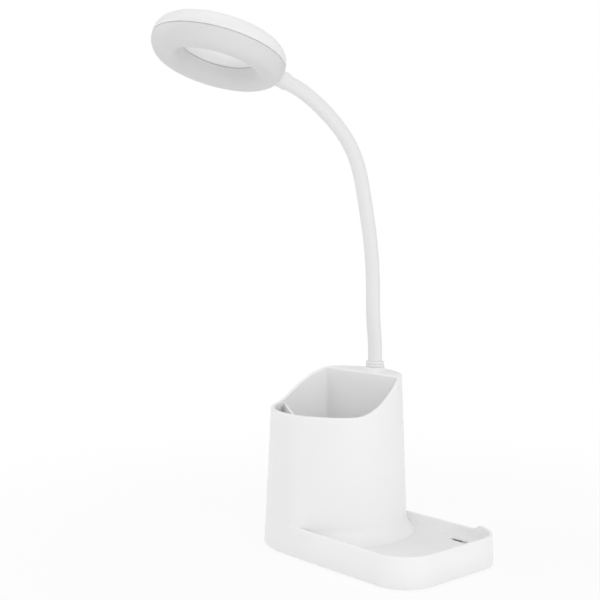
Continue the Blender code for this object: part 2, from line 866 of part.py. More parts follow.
def soldered_box(name, shares, length, width, height):
    x, y = on_board(shares)
    low = (x - length / 2, y - width / 2, board_top - board_thickness / 2)
    return box(name, low, (x + length / 2, y + width / 2, board_top + height))


def main_board():
    low = (cup_x - board_length / 2, board_front, board_bottom)
    board = box("main_board", low, (cup_x + board_length / 2, board_back, board_top), green_board)
    join(board, soldered_box("charge_chip", charge_chip_shares, chip_length, chip_width, chip_height))
    join(board, soldered_box("driver_chip", driver_chip_shares, chip_width, chip_width, chip_height))
    join(board, soldered_box("battery_plug", plug_shares, plug_length, plug_width, plug_height))
    coil_low = board_top - board_thickness / 2
    join(board, cylinder("coil", at(*on_board(coil_shares)), coil_low, board_top + coil_height, coil_radius))
    bore = board_screw_radius + clearance
    for i, (x, y) in enumerate(standoff_places()[:2]):
        cut(board, cylinder(f"board_bore_{i + 1}", at(x, y), board_bottom - overrun, board_top + overrun, bore))


def board_screws():
    head_face = board_top + clearance + board_screw_head_height
    downward = Matrix.Rotation(180 * degree, 4, "X")
    for i, (x, y) in enumerate(standoff_places()[:2]):
        screw(
            f"board_screw_{i + 1}",
            at(x, y, head_face) @ downward,
            board_screw_head_radius,
            board_screw_head_height,
            board_screw_radius,
            board_screw_length,
        )


def charge_socket():
    """A flat round-ended shell with a tongue, on the board's back edge."""
    frame = at(cup_x, 0, socket_middle) @ along_y
    back = socket_face - socket_depth
    outer = rounded_rectangle(0, 0, socket_width, socket_height, socket_height / 2 - socket_shell)
    shell = plate("charge_socket", outer, back, socket_face, nickel, frame)
    room_width = socket_width - 2 * socket_shell
    room_height = socket_height - 2 * socket_shell
    room = rounded_rectangle(0, 0, room_width, room_height, room_height / 2 - socket_shell)
    cut(shell, plate("socket_room", room, back + 2 * socket_shell, socket_face + overrun, frame=frame))
    tongue_low = (-tongue_width / 2, -tongue_thickness / 2, back + socket_shell)
    tongue_high = (tongue_width / 2, tongue_thickness / 2, socket_face - socket_recess)
    join(shell, box("tongue", tongue_low, tongue_high, frame=frame))


def charge_light():
    """The clear pipe that carries the charging lamp's glow to the back."""
    frame = at(cup_x + light_offset, 0, socket_middle) @ along_y
    face = half_chord(outer_radius(socket_middle), light_offset + light_radius) - clearance
    cylinder("charge_light", frame, face - light_length, face, light_radius, milky_plastic)


# Slide switch

def slide_switch():
    """The switch's board, its body with a channel, and its knob at one end of the travel."""
    half_length = switch_board_length / 2
    half_width = switch_board_width / 2
    board_low = (switch_x - half_length, switch_y - half_width, inside_bottom)
    board_high = (switch_x + half_length, switch_y + half_width, inside_bottom + switch_board_thickness)
    box("switch_board", board_low, board_high, green_board)

    stem_half = knob_length / 2 - 2 * clearance
    channel_half = stem_half + switch_travel / 2 + clearance
    channel_low = switch_body_top - channel_depth
    body_half = channel_half + switch_body_end
    body_low = (switch_x - body_half, switch_y - switch_body_width / 2, switch_body_top - switch_body_height)
    body_high = (switch_x + body_half, switch_y + switch_body_width / 2, switch_body_top)
    body = box("switch_body", body_low, body_high, steel)
    low = (switch_x - channel_half, switch_y - channel_width / 2, channel_low)
    high = (switch_x + channel_half, switch_y + channel_width / 2, switch_body_top + overrun)
    cut(body, box("channel", low, high))

    knob_x = switch_x - switch_travel / 2
    knob_low = switch_body_top + clearance
    knob_top = tray_floor_height - knob_recess
    low = (knob_x - knob_length / 2, switch_y - knob_width / 2, knob_low)
    high = (knob_x + knob_length / 2, switch_y + knob_width / 2, knob_top)
    knob = box("switch_slider", low, high, black_plastic)
    stem_side = channel_width / 2 - clearance
    low = (knob_x - stem_half, switch_y - stem_side, channel_low + clearance)
    high = (knob_x + stem_half, switch_y + stem_side, knob_low + clearance)
    join(knob, box("stem", low, high))
    pitch = knob_length / knob_groove_count
    for i in range(knob_groove_count):
        x = knob_x - knob_length / 2 + pitch * (i + 0.5)
        low = (x - pitch / 4, switch_y - knob_width, knob_top - knob_groove_depth)
        high = (x + pitch / 4, switch_y + knob_width, knob_top + overrun)
        cut(knob, box(f"knob_groove_{i + 1}", low, high))


# Collar, ferrule, washer and nut of the gooseneck

def neck_fastening():
    frame = at(neck_x, neck_y)
    low = neck_boss_top + clearance
    seat = low + ferrule_reach + clearance
    top = low + collar_height
    middle = (low + top) / 2
    groove = collar_radius - collar_groove_depth
    collar = [
        (ferrule_bore, low),
        (collar_radius, low),
        (collar_radius, middle - collar_groove_width / 2),
        (groove, middle - collar_groove_width / 4),
        (groove, middle + collar_groove_width / 4),
        (collar_radius, middle + collar_groove_width / 2),
        (collar_radius, top - collar_groove_depth),
        (groove, top),
        (collar_bore, top),
        (collar_bore, seat),
        (ferrule_bore, seat),
    ]
    turned("neck_collar", collar, steps=fine_steps, frame=frame)

    ferrule_top = low + ferrule_reach
    ferrule_low = ferrule_top - ferrule_length
    ferrule = [
        (hose_bore, ferrule_low),
        (ferrule_radius, ferrule_low),
        (ferrule_radius, ferrule_top),
        (hose_bore, ferrule_top),
    ]
    turned("neck_ferrule", ferrule, steel, round_steps, frame)

    washer_top = cup_height - shoulder_thickness - clearance
    washer_low = washer_top - washer_thickness
    washer = [
        (ferrule_bore, washer_low),
        (washer_radius, washer_low),
        (washer_radius, washer_top),
        (ferrule_bore, washer_top),
    ]
    turned("neck_washer", washer, steel, fine_steps, frame)

    nut_top = washer_low - clearance
    nut_low = nut_top - nut_height
    nut = cylinder("neck_nut", frame, nut_low, nut_top, ferrule_bore + nut_rim, steel, nut_steps)
    cut(nut, cylinder("nut_bore", frame, nut_low - overrun, nut_top + overrun, ferrule_bore))


# Gooseneck

def lean_at(share):
    """The neck's lean from upright, smoothly through the listed angles."""
    shares = neck_bend_shares
    angles = neck_bend_angles
    i = max(k for k in range(len(shares) - 1) if k == 0 or share >= shares[k])
    slopes = []
    for k in (i, i + 1):
        before = max(k - 1, 0)
        after = min(k + 1, len(shares) - 1)
        is_level = angles[k] in (angles[before], angles[after])
        if 0 < k < len(shares) - 1 and not is_level:
            slopes.append((angles[after] - angles[before]) / (shares[after] - shares[before]))
        else:
            slopes.append(0)
    span = shares[i + 1] - shares[i]
    t = (share - shares[i]) / span
    start = (2 * t ** 3 - 3 * t ** 2 + 1) * angles[i] + (t ** 3 - 2 * t ** 2 + t) * span * slopes[0]
    end = (3 * t ** 2 - 2 * t ** 3) * angles[i + 1] + (t ** 3 - t ** 2) * span * slopes[1]
    return (start + end) * degree


def neck_line():
    """Points and leans at even steps along the neck's centre line."""
    point = Vector((neck_x, neck_y, neck_start))
    line = [(point, lean_at(0))]
    for i in range(line_steps):
        lean = lean_at((i + 0.5) / line_steps)
        point = point + Vector((0, -math.sin(lean), math.cos(lean))) * (neck_length / line_steps)
        line.append((point, lean_at((i + 1) / line_steps)))
    return line


centre_line = neck_line()


def neck_at(distance):
    """The point and the direction at a distance from the neck's foot, straight on past its ends."""
    inside = min(max(distance, 0), neck_length)
    place = inside / neck_length * line_steps
    i = min(int(place), line_steps - 1)
    (start, start_lean), (end, end_lean) = centre_line[i], centre_line[i + 1]
    lean = start_lean + (end_lean - start_lean) * (place - i)
    along = Vector((0, -math.sin(lean), math.cos(lean)))
    return start.lerp(end, place - i) + along * (distance - inside), along


def neck_frame(distance):
    """Origin on the centre line, Z along the neck and X along the lamp's X."""
    point, along = neck_at(distance)
    return Matrix.Translation(point) @ Matrix.Rotation(math.atan2(-along.y, along.z), 4, "X")


def hinge_distance(number):
    return first_link_length + link_pitch * (number - 1)


def spread(start, end):
    """Even distances between two ends, the ends left out."""
    steps = max(round((end - start) / link_pitch * link_steps), 2)
    return [start + (end - start) * i / steps for i in range(1, steps)]


def ball_end(hinge):
    """(distance, offset, radius) from a link's bore out over its ball to its side."""
    middle = (sleeve_bore + neck_radius + clearance) / 2
    ball = [(hinge, -half_chord(neck_radius, radius), radius) for radius in (sleeve_bore, middle)]
    return ball + [(hinge, 0, neck_radius)]


def socket_end(hinge):
    """(distance, offset, radius) from a link's side in over its socket to its bore."""
    hollow = neck_radius + socket_gap
    radii = (neck_radius, (sleeve_bore + neck_radius) / 2, sleeve_bore)
    return [(hinge, -half_chord(hollow, radius), radius) for radius in radii]


def neck_skin(name, profile, frame):
    """A hollow link: rings through (distance, offset, radius) points of its closed profile.

    Each ring lies square to the neck at its distance, moved straight on by its offset.
    """
    shape = bmesh.new()
    into_frame = frame.inverted()
    rings = []
    for distance, offset, radius in profile:
        place = into_frame @ neck_frame(distance) @ at(0, 0, offset)
        rings.append([shape.verts.new(place @ Vector(point)) for point in level(circle(0, 0, radius, neck_steps), 0)])
    for ring, following in zip(rings, rings[1:] + rings[:1]):
        bridge(shape, ring, following)
    made = put_shape(shape, name, white_sleeve, frame)
    smooth(made)
    return made


def neck_links():
    """Links with ball ends, chained by empties that stand on their hinges, each with its hose inside."""
    skin_start = ferrule_reach + 2 * clearance
    skin_end = neck_length - head_wall
    hose_end = neck_length + 2 * ring_half_width - head_wall - socket_boss_length - clip_thickness
    holder = None
    for i in range(hinge_count + 1):
        is_first = i == 0
        is_last = i == hinge_count
        start = skin_start if is_first else hinge_distance(i)
        end = skin_end if is_last else hinge_distance(i + 1)
        frame = neck_frame(start)
        lower = [(start, 0, sleeve_bore), (start, 0, neck_radius)] if is_first else ball_end(start)
        upper = [(end, 0, neck_radius), (end, 0, sleeve_bore)] if is_last else socket_end(end)
        outer = [(distance, 0, neck_radius) for distance in spread(start, end)]
        inner = [(distance, 0, sleeve_bore) for distance in reversed(spread(start, end))]
        skin = neck_skin(f"neck_skin_{i + 1}", lower + outer + upper + inner, frame)
        hose_start = ferrule_reach - ferrule_length if is_first else start + neck_radius / 2
        hose_stop = hose_end if is_last else end - neck_radius - clearance
        into_frame = frame.inverted()
        distances = [hose_start, *spread(hose_start, hose_stop), hose_stop]
        points = [into_frame @ neck_at(distance)[0] for distance in distances]
        hose = tube(f"neck_hose_{i + 1}", points, hose_radius, steel, frame)
        link = axis_empty(f"neck_link_{i + 1}", frame)
        carry(link, skin, hose)
        if holder:
            carry(holder, link)
        holder = link
    return holder


# Ring head. Its frame has the ring's axis along Z, and the neck comes in from +Y.

head = neck_frame(neck_length) @ along_y @ at(0, -neck_side, -neck_rise)
neck_in_head = head @ at(0, 0, neck_rise) @ along_y


def half_ring(name, side, thickness, look):
    """One half of the hollow ring: the upper for side 1, the lower for side -1."""
    gap = seam_gap / 2
    profile = []
    for half_width, half_height, steps, is_outer in (
        (ring_half_width, ring_half_height, 10, True),
        (ring_half_width - thickness, ring_half_height - thickness, 6, False),
    ):
        edge = math.asin(gap / half_height)
        start, end = (edge, math.pi - edge) if is_outer else (math.pi - edge, edge)
        turns = [start + (end - start) * i / steps for i in range(steps + 1)]
        profile += [(ring_radius + half_width * math.cos(a), side * half_height * math.sin(a)) for a in turns]
    return turned(name, profile, look, ring_steps, head)


def full_ring(name, extra):
    """A solid ring as large as the head and a little more, to shape what meets it."""
    turns = [360 * degree * i / fine_steps for i in range(fine_steps)]
    half_width = ring_half_width + extra
    half_height = ring_half_height + extra
    profile = [(ring_radius + half_width * math.cos(a), half_height * math.sin(a)) for a in turns]
    return turned(name, profile, frame=head)


def led_post_places():
    return [(ring_radius * math.cos(angle), ring_radius * math.sin(angle)) for angle in led_post_angles]


def head_housing():
    """The upper half of the ring, with the neck's socket and three posts inside."""
    housing = half_ring("head_housing", 1, head_wall, white_plastic)
    socket_low = neck_side - head_wall - socket_boss_length
    socket = cylinder("neck_socket", neck_in_head, socket_low, neck_side, hose_bore + socket_boss_wall)
    keep_common(socket, full_ring("neck_socket_limit", -head_wall / 2))
    trim_low = (-neck_side, 0, -neck_side)
    cut(socket, box("neck_socket_trim", trim_low, (neck_side, 2 * neck_side, seam_gap / 2), frame=head))
    join(housing, socket)
    for i, (x, y) in enumerate(led_post_places()):
        post_top = ring_half_height - head_wall / 2
        join(housing, cylinder(f"led_post_{i + 1}", head @ at(x, y), 0, post_top, led_post_radius))
        bore = led_screw_radius + clearance
        cut(housing, cylinder(f"led_bore_{i + 1}", head @ at(x, y), -overrun, led_bore_depth, bore))
    cut(housing, cylinder("hose_opening", neck_in_head, ring_radius, neck_side + overrun, hose_bore))
    return housing


def head_sleeve():
    """The short sleeve over the joint of neck and head, shaped to the ring."""
    start = neck_side - head_wall
    end = neck_side + head_sleeve_length
    outer = collar_bore + head_sleeve_wall
    profile = [(collar_bore, start), (outer, start), (outer, end - head_sleeve_wall), (collar_bore, end)]
    sleeve = turned("head_sleeve", profile, white_sleeve, fine_steps, neck_in_head)
    cut(sleeve, full_ring("sleeve_trim", clearance))
    return sleeve


def neck_clip():
    """The spring clip that holds the hose's end behind the head's inner socket."""
    seat = neck_side - head_wall - socket_boss_length - clearance
    low = seat - clip_thickness
    bore = hose_radius + clip_pinch
    clip = cylinder("neck_clip", neck_in_head, low, seat, clip_radius, steel, fine_steps)
    cut(clip, cylinder("clip_bore", neck_in_head, low - overrun, seat + overrun, bore, steps=fine_steps))
    slot_low = (-bore / 2, 0, low - overrun)
    cut(clip, box("clip_slot", slot_low, (bore / 2, 2 * clip_radius, seat + overrun), frame=neck_in_head))
    return clip


def led_board():
    """The ring-shaped board with its light-emitting chips soldered underneath, and its screws."""
    half_width = ring_half_width - head_wall - led_board_side_gap
    top = -clearance
    low = top - led_board_thickness
    inner = ring_radius - half_width
    outer = ring_radius + half_width
    board = turned("led_board", [(inner, low), (outer, low), (outer, top), (inner, top)], white_board, frame=head)
    chip_low = (-led_width / 2, -led_length / 2, low - led_height)
    chip_high = (led_width / 2, led_length / 2, low + led_board_thickness / 2)
    for i in range(led_count):
        place = head @ Matrix.Rotation(360 * degree * i / led_count, 4, "Z") @ at(ring_radius, 0)
        join(board, box(f"led_{i + 1}", chip_low, chip_high, frame=place))
    pieces = [board]
    head_face = low - clearance - led_screw_head_height
    length = led_bore_depth - clearance - head_face - led_screw_head_height
    bore = led_screw_radius + clearance
    for i, (x, y) in enumerate(led_post_places()):
        cut(board, cylinder(f"led_board_bore_{i + 1}", head @ at(x, y), low - overrun, top + overrun, bore))
        frame = head @ at(x, y, head_face)
        name = f"led_screw_{i + 1}"
        pieces.append(screw(name, frame, led_screw_head_radius, led_screw_head_height, led_screw_radius, length))
    return pieces


def ring_head(holder):
    centre = axis_empty("head_centre", head)
    carry(holder, centre)
    diffuser = half_ring("diffuser", -1, diffuser_wall, milky_plastic)
    carry(centre, head_housing(), diffuser, head_sleeve(), neck_clip(), *led_board())


def build_lamp():
    base_housing()
    bottom_cover()
    non_slip_pad()
    cover_screws()
    counterweight()
    battery()
    main_board()
    board_screws()
    charge_socket()
    charge_light()
    slide_switch()
    neck_fastening()
    ring_head(neck_links())


build_lamp()
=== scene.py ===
"""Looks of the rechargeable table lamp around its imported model, in metres.

+X runs from the pen cup to the tray, the user sits on the -Y side, and +Z is up.
The sizes repeat the model's own, so that each finer piece lies where its solid does.
"""

import json
import math

import bmesh
import bpy
from mathutils import Matrix, Vector

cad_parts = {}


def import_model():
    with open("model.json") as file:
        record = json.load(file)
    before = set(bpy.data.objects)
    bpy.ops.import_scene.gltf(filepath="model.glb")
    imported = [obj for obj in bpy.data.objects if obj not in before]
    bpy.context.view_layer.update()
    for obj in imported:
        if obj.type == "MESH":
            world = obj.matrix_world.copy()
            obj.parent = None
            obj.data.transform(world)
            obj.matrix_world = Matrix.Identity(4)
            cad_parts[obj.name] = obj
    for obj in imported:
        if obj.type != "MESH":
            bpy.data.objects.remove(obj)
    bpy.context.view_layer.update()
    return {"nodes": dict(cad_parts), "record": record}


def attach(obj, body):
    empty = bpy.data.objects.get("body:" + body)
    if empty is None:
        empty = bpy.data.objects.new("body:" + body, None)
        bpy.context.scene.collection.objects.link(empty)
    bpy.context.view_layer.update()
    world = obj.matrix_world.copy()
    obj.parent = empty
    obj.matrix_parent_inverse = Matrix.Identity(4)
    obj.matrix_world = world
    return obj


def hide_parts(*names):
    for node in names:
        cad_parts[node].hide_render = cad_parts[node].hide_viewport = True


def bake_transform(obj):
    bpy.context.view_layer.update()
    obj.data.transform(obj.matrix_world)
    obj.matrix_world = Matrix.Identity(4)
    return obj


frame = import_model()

mm = 0.001
degree = math.radians(1)

# Sizes of the base and the cup
base_length = 144.2 * mm
base_width = 89.2 * mm
corner_radius = 22.2 * mm
rim_height = 18.2 * mm
back_rim_height = 15.5 * mm
rim_step_start = 46.4 * mm
rim_step_length = 8.4 * mm
rim_rounding = 0.8 * mm
rounding_runout = 20.0 * mm
taper = math.tan(2.56 * degree)
wall = 2.4 * mm
skirt_wall = 2.8 * mm
skirt_gap = 0.8 * mm
foot_rounding = 0.35 * mm
tray_floor = 8.8 * mm
tray_ceiling = 7.0 * mm
tray_fillet = 3.2 * mm
flare_width = 4.5 * mm
flare_top = 18.6 * mm
wall_ledge = 0.03 * mm
cup_x = -27.5 * mm
cup_height = 105.0 * mm
cup_front_height = 84.2 * mm
wave_start = -18.88 * mm
wave_end = 27.12 * mm
cup_lip = 0.75 * mm
cup_floor = 16.8 * mm
cup_ceiling = 15.0 * mm
cup_fillet = 2.5 * mm
partition_face = 21.52 * mm
room_corner = 3.2 * mm
rear_room_front = 23.52 * mm
shoulder_underside = 102.6 * mm
divider_distance = 28.57 * mm
divider_thickness = 1.6 * mm
divider_top = 83.0 * mm
divider_turn = 146 * degree
switch_x = 43.0 * mm
switch_y = 34.6 * mm
slot_length = 12.0 * mm
slot_width = 3.6 * mm
charge_height = 10.0 * mm
charge_width = 9.5 * mm
charge_slot_height = 3.8 * mm
light_offset = 9.5 * mm
light_bore = 1.4 * mm
rear_floor_cut = 0.8 * mm
rear_side_gap = 0.3 * mm
tray_room_gap = 0.3 * mm

# Sizes of the openings' edges, and how far their cutters reach
charge_reach = 7 * mm
charge_edge_depth = 0.75 * mm
charge_edge = 0.5 * mm
charge_end_gap = 0.1 * mm
charge_overrun = 3 * mm
light_reach = 6 * mm
light_edge_depth = 0.3 * mm
light_edge = 0.5 * mm
light_overrun = 0.8 * mm
slot_edge = 0.3 * mm
slot_corner = 0.7 * mm
overrun = 2 * mm
long_overrun = 4 * mm
rim_overrun = 0.75 * mm
room_overrun = 1 * mm

# Sizes of the neck and the head
neck_x = -24.5 * mm
neck_y = 30.47 * mm
neck_radius = 4.4 * mm
neck_length = 217.3 * mm
neck_foot = 107.5 * mm
neck_bend_shares = (0.0, 0.03, 0.09, 0.20, 0.40, 0.55, 0.70, 0.85, 0.93, 1.0)
neck_bend_angles = (0, 0, 7.0, 1.0, 11.5, 17.3, 46.6, 62.4, 72.3, 72.3)
first_hinge = 20.0 * mm
hinge_pitch = 28.0 * mm
hinge_count = 7
bend_reach = 12.5 * mm
ring_radius = 29.2 * mm
ring_half_width = 8.4 * mm
ring_half_height = 10.0 * mm
ring_side = ring_radius + ring_half_width
neck_rise = 4.0 * mm
seam_gap = 0.5 * mm
seam_depth = 0.8 * mm
upper_wall = 2.0 * mm
lower_wall = 1.5 * mm
seam_edge = 0.22 * mm
rib_thickness = 0.9 * mm
rib_gap = 0.02 * mm
sleeve_radius = 5.0 * mm
sleeve_length = 13.0 * mm
sleeve_bore = 4.45 * mm
sleeve_edge = 0.28 * mm
sleeve_start_gap = 0.12 * mm
sleeve_shares = (0.0, 0.2, 0.45, 0.7, 0.93)
cover_start = 2.5 * mm
cover_end_gap = 1.2 * mm
section_spacing = 1.0 * mm
neck_bore = 4.2 * mm
collar_radius = 5.75 * mm
collar_low = 107.25 * mm
collar_high = 110.7 * mm
collar_edge = 0.55 * mm
collar_gap = 0.3 * mm
collar_seat = 1.9 * mm
boss_foot_radius = 8.2 * mm
boss_top_radius = 6.2 * mm
boss_sink = 1.2 * mm
boss_side_rise = 1.95 * mm
boss_rise = 2.2 * mm
boss_edge = 0.25 * mm
boss_flare_power = 2.2

# How finely the curves are drawn
round_steps = 144
fine_steps = 96
bore_steps = 64
light_steps = 40
corner_steps = 24
small_corner_steps = 8
lip_steps = 6
foot_steps = 3
fillet_steps = 8
run_steps = 8
rise_steps = 12
flare_steps = 16
rim_step_steps = 30
room_steps = 120
room_rise_steps = 8
room_flat_steps = 16
divider_steps = 10
rear_room_steps = 48
boss_steps = 12
neck_line_steps = 400
neck_sides = 56
fewest_neck_steps = 4
shell_steps = 40
shell_inner_steps = 24
collar_edge_steps = 5
sleeve_edge_steps = 4
radius_rounds = 3

# What keeps the meshes clean
side_bow = 0.02 * mm
weld_distance = 0.002 * mm

# Angles over which an edge stays sharp
housing_sharp_angle = 32 * degree
sleeve_sharp_angle = 45 * degree
ring_sharp_angle = 50 * degree
neck_sharp_angle = 60 * degree

# Looks, stage and camera
glow_depth = 3 * mm
stage_white = (0.93, 0.93, 0.93)
room_light = 0.72
floor_glow_share = 0.85
shadow_radius = 0.12
floor_fade_radius = 0.45
floor_half_size = 4.0
floor_segments = 8
camera_place = (449.2 * mm, -461.6 * mm, 195.7 * mm)
camera_turn = 47.934 * degree
camera_dip = 3.903 * degree
camera_roll = 0.362 * degree
camera_clip = 0.01
focal_length_in_pixels = 1077.79
picture_width_in_pixels = 600
sensor_width = 36


# Shapes

def at(x, y, z=0.0):
    return Matrix.Translation((x, y, z))


def outer_radius(z):
    return base_width / 2 - (z - skirt_gap) * taper


def inner_radius(z):
    return outer_radius(z) - wall


def ease(share):
    share = min(max(share, 0), 1)
    return share * share * (3 - 2 * share)


def rim_at(y):
    """The height of the cup's wave-shaped rim at a depth."""
    share = ease((y - wave_start) / (wave_end - wave_start))
    return cup_front_height + (cup_height - cup_front_height) * share


def arc(x, y, radius, start, end, steps):
    turns = [start + (end - start) * i / steps for i in range(steps + 1)]
    return [(x + radius * math.cos(turn), y + radius * math.sin(turn)) for turn in turns]


def circle(x, y, radius, steps=round_steps):
    return arc(x, y, radius, 0, 360 * degree, steps)[:-1]


def level(outline, z):
    return [(x, y, z) for x, y in outline]


def lip(radius, steps=lip_steps):
    """(inset, drop) pairs over a rounded edge, from its side to its top."""
    turns = [90 * degree * i / steps for i in range(steps + 1)]
    return [(radius * (1 - math.cos(turn)), radius * (1 - math.sin(turn))) for turn in turns]


def rounded_rectangle(length, width, radius):
    points = []
    for i, (side_x, side_y) in enumerate(((1, 1), (-1, 1), (-1, -1), (1, -1))):
        middle_x = side_x * (length / 2 - radius)
        middle_y = side_y * (width / 2 - radius)
        start = i * 90 * degree
        end = (i + 1) * 90 * degree
        points += arc(middle_x, middle_y, radius, start, end, small_corner_steps)
    return points


def base_outline(inset, edge=0.0):
    """The base from above. The edge is a further inset of the tray's part."""
    side = base_width / 2 - inset
    radius = corner_radius - inset - edge
    corner_x = base_length / 2 - inset - edge - radius
    corner_y = side - edge - radius
    left = arc(cup_x, 0, side, 90 * degree, 270 * degree, round_steps // 2)
    near = arc(corner_x, -corner_y, radius, 270 * degree, 360 * degree, corner_steps)
    far = arc(corner_x, corner_y, radius, 0, 90 * degree, corner_steps)
    run = []
    for i in range(1, run_steps + 1):
        along = rounding_runout * i / run_steps
        bow = side_bow * math.sin(180 * degree * along / (corner_x - cup_x))
        run.append((cup_x + along, side - edge * ease(i / run_steps) + bow))
    return left + [(x, -y) for x, y in run] + near + far + run[::-1]


def new_object(shape, name):
    bmesh.ops.recalc_face_normals(shape, faces=shape.faces)
    mesh = bpy.data.meshes.new(name)
    shape.to_mesh(mesh)
    shape.free()
    made = bpy.data.objects.new(name, mesh)
    bpy.context.scene.collection.objects.link(made)
    return made


def bridge(shape, lower, upper):
    for i in range(len(lower)):
        j = (i + 1) % len(lower)
        shape.faces.new((lower[i], lower[j], upper[j], upper[i]))


def loft(name, sections, is_capped=True, is_closed=False):
    """A skin through outlines that have equally many points."""
    shape = bmesh.new()
    rings = [[shape.verts.new(point) for point in section] for section in sections]
    if is_capped:
        shape.faces.new(rings[0])
        shape.faces.new(rings[-1])
    for lower, upper in zip(rings, rings[1:]):
        bridge(shape, lower, upper)
    if is_closed:
        bridge(shape, rings[-1], rings[0])
    return new_object(shape, name)


def turned(name, profile, frame_matrix, steps=round_steps):
    """A closed profile of (radius, height) points turned about its frame's Z."""
    sections = []
    for i in range(steps):
        turn = 360 * degree * i / steps
        spin = frame_matrix @ Matrix.Rotation(turn, 4, "Z")
        sections.append([spin @ Vector((radius, 0, height)) for radius, height in profile])
    return loft(name, sections, is_capped=False, is_closed=True)


def combine(target, other, operation):
    change = target.modifiers.new(other.name, "BOOLEAN")
    change.operation = operation
    change.object = other
    return other


def settle(made, helpers):
    """Applies the modifiers and removes the shapes that they used."""
    bpy.context.view_layer.update()
    evaluated = made.evaluated_get(bpy.context.evaluated_depsgraph_get())
    mesh = bpy.data.meshes.new_from_object(evaluated)
    shape = bmesh.new()
    shape.from_mesh(mesh)
    bmesh.ops.remove_doubles(shape, verts=shape.verts, dist=weld_distance)
    bmesh.ops.dissolve_degenerate(shape, edges=shape.edges, dist=weld_distance)
    shape.to_mesh(mesh)
    shape.free()
    made.modifiers.clear()
    made.data = mesh
    for helper in helpers:
        bpy.data.objects.remove(helper)


def shade(made, angle=housing_sharp_angle):
    made.data.shade_smooth()
    made.data.set_sharp_from_angle(angle=angle)
    weighting = made.modifiers.new("weighted_normals", "WEIGHTED_NORMAL")
    weighting.keep_sharp = True
    return made


# Materials: values that change over a surface are written as expressions

class Number:
    """A socket whose sums and products add Math nodes."""

    def __init__(self, nodes, socket):
        self.nodes = nodes
        self.socket = socket

    def math(self, operation, *values):
        return self.nodes.node("ShaderNodeMath", {"operation": operation}, *values)

    def __add__(self, other):
        return self.math("ADD", self, other)

    def __radd__(self, other):
        return self.math("ADD", other, self)

    def __sub__(self, other):
        return self.math("SUBTRACT", self, other)

    def __rsub__(self, other):
        return self.math("SUBTRACT", other, self)

    def __mul__(self, other):
        return self.math("MULTIPLY", self, other)

    def __rmul__(self, other):
        return self.math("MULTIPLY", other, self)

    def over(self, limit):
        return self.math("GREATER_THAN", self, limit)

    def most(self, other):
        return self.math("MAXIMUM", self, other)

    def rise(self, low, high):
        """Goes smoothly from 0 at the low value to 1 at the high one."""
        settings = {"interpolation_type": "SMOOTHSTEP"}
        return self.nodes.node("ShaderNodeMapRange", settings, self, low, high)


class Nodes:
    """Adds nodes to one tree."""

    def __init__(self, tree):
        self.tree = tree

    def connect(self, socket, value):
        if isinstance(value, Number):
            self.tree.links.new(value.socket, socket)
        else:
            socket.default_value = value

    def node(self, kind, settings, *values, output=0, **named):
        """One node: its settings first, then its sockets by order or by name."""
        made = self.tree.nodes.new(kind)
        for setting, value in settings.items():
            setattr(made, setting, value)
        for socket, value in zip(made.inputs, values):
            self.connect(socket, value)
        for socket, value in named.items():
            self.connect(made.inputs[socket.replace("_", " ")], value)
        return Number(self, made.outputs[output]) if made.outputs else None


class Look(Nodes):
    """A material built round one Principled shader."""

    def __init__(self, name, **values):
        self.material = bpy.data.materials.new(name)
        self.material.use_nodes = True
        super().__init__(self.material.node_tree)
        self.shader = self.tree.nodes["Principled BSDF"]
        self.place = self.node("ShaderNodeTexCoord", {}, output="Object")
        for socket, value in values.items():
            self.feed(socket.replace("_", " "), value)

    def noise(self, scale, detail=2.0, stretch=(1, 1, 1)):
        place = self.node("ShaderNodeMapping", {}, Vector=self.place, Scale=stretch)
        return self.node("ShaderNodeTexNoise", {}, Vector=place, Scale=scale, Detail=detail)

    def cells(self, scale):
        return self.node("ShaderNodeTexVoronoi", {}, Vector=self.place, Scale=scale, output="Distance")

    def mix(self, factor, first, second):
        made = self.tree.nodes.new("ShaderNodeMix")
        made.data_type = "RGBA"
        factor_socket, first_socket, second_socket = (made.inputs[i] for i in (0, 6, 7))
        self.connect(factor_socket, factor)
        self.connect(first_socket, (*first, 1))
        self.connect(second_socket, (*second, 1))
        return Number(self, made.outputs[2])

    def feed(self, socket, value):
        self.connect(self.shader.inputs[socket], value)

    def bump(self, height, distance, strength=1.0):
        relief = self.node("ShaderNodeBump", {}, Height=height, Distance=distance, Strength=strength)
        self.feed("Normal", relief)


def moulded(name, colour, shadow_colour, roughness, grain_scale, grain_depth, glow_share=0.0):
    """Moulded plastic: a fine eroded grain, faint flow clouds and uneven gloss."""
    glow_radius = (1, 1, 1)
    look = Look(
        name,
        Subsurface_Weight=glow_share,
        Subsurface_Radius=glow_radius,
        Subsurface_Scale=glow_depth,
    )
    spread = 0.07
    pit_scale = grain_scale * 0.37
    cloud = look.noise(scale=22, detail=3)
    flow = look.noise(scale=60, detail=2, stretch=(1, 1, 0.25))
    grain = look.noise(scale=grain_scale, detail=3)
    pits = look.noise(scale=pit_scale, detail=1)
    look.feed("Base Color", look.mix(cloud * 0.7 + grain * 0.3, shadow_colour, colour))
    look.feed("Roughness", roughness - spread / 2 + flow * spread * 0.6 + grain * spread * 0.4)
    look.bump(grain * 0.7 + pits * 0.3, grain_depth, strength=0.6)
    return look.material


def metal(name, colour, roughness, stretch, depth):
    """Drawn or plated metal with fine marks along one way."""
    look = Look(name, Metallic=1.0)
    tarnish_shade = 0.82
    marks = look.noise(scale=2400, detail=2, stretch=stretch)
    tarnish = look.noise(scale=120, detail=3)
    dark = tuple(channel * tarnish_shade for channel in colour)
    look.feed("Base Color", look.mix(tarnish * 0.6 + marks * 0.4, dark, colour))
    look.feed("Roughness", roughness + marks * 0.15 + tarnish * 0.05)
    look.bump(marks, depth, strength=0.5)
    return look.material


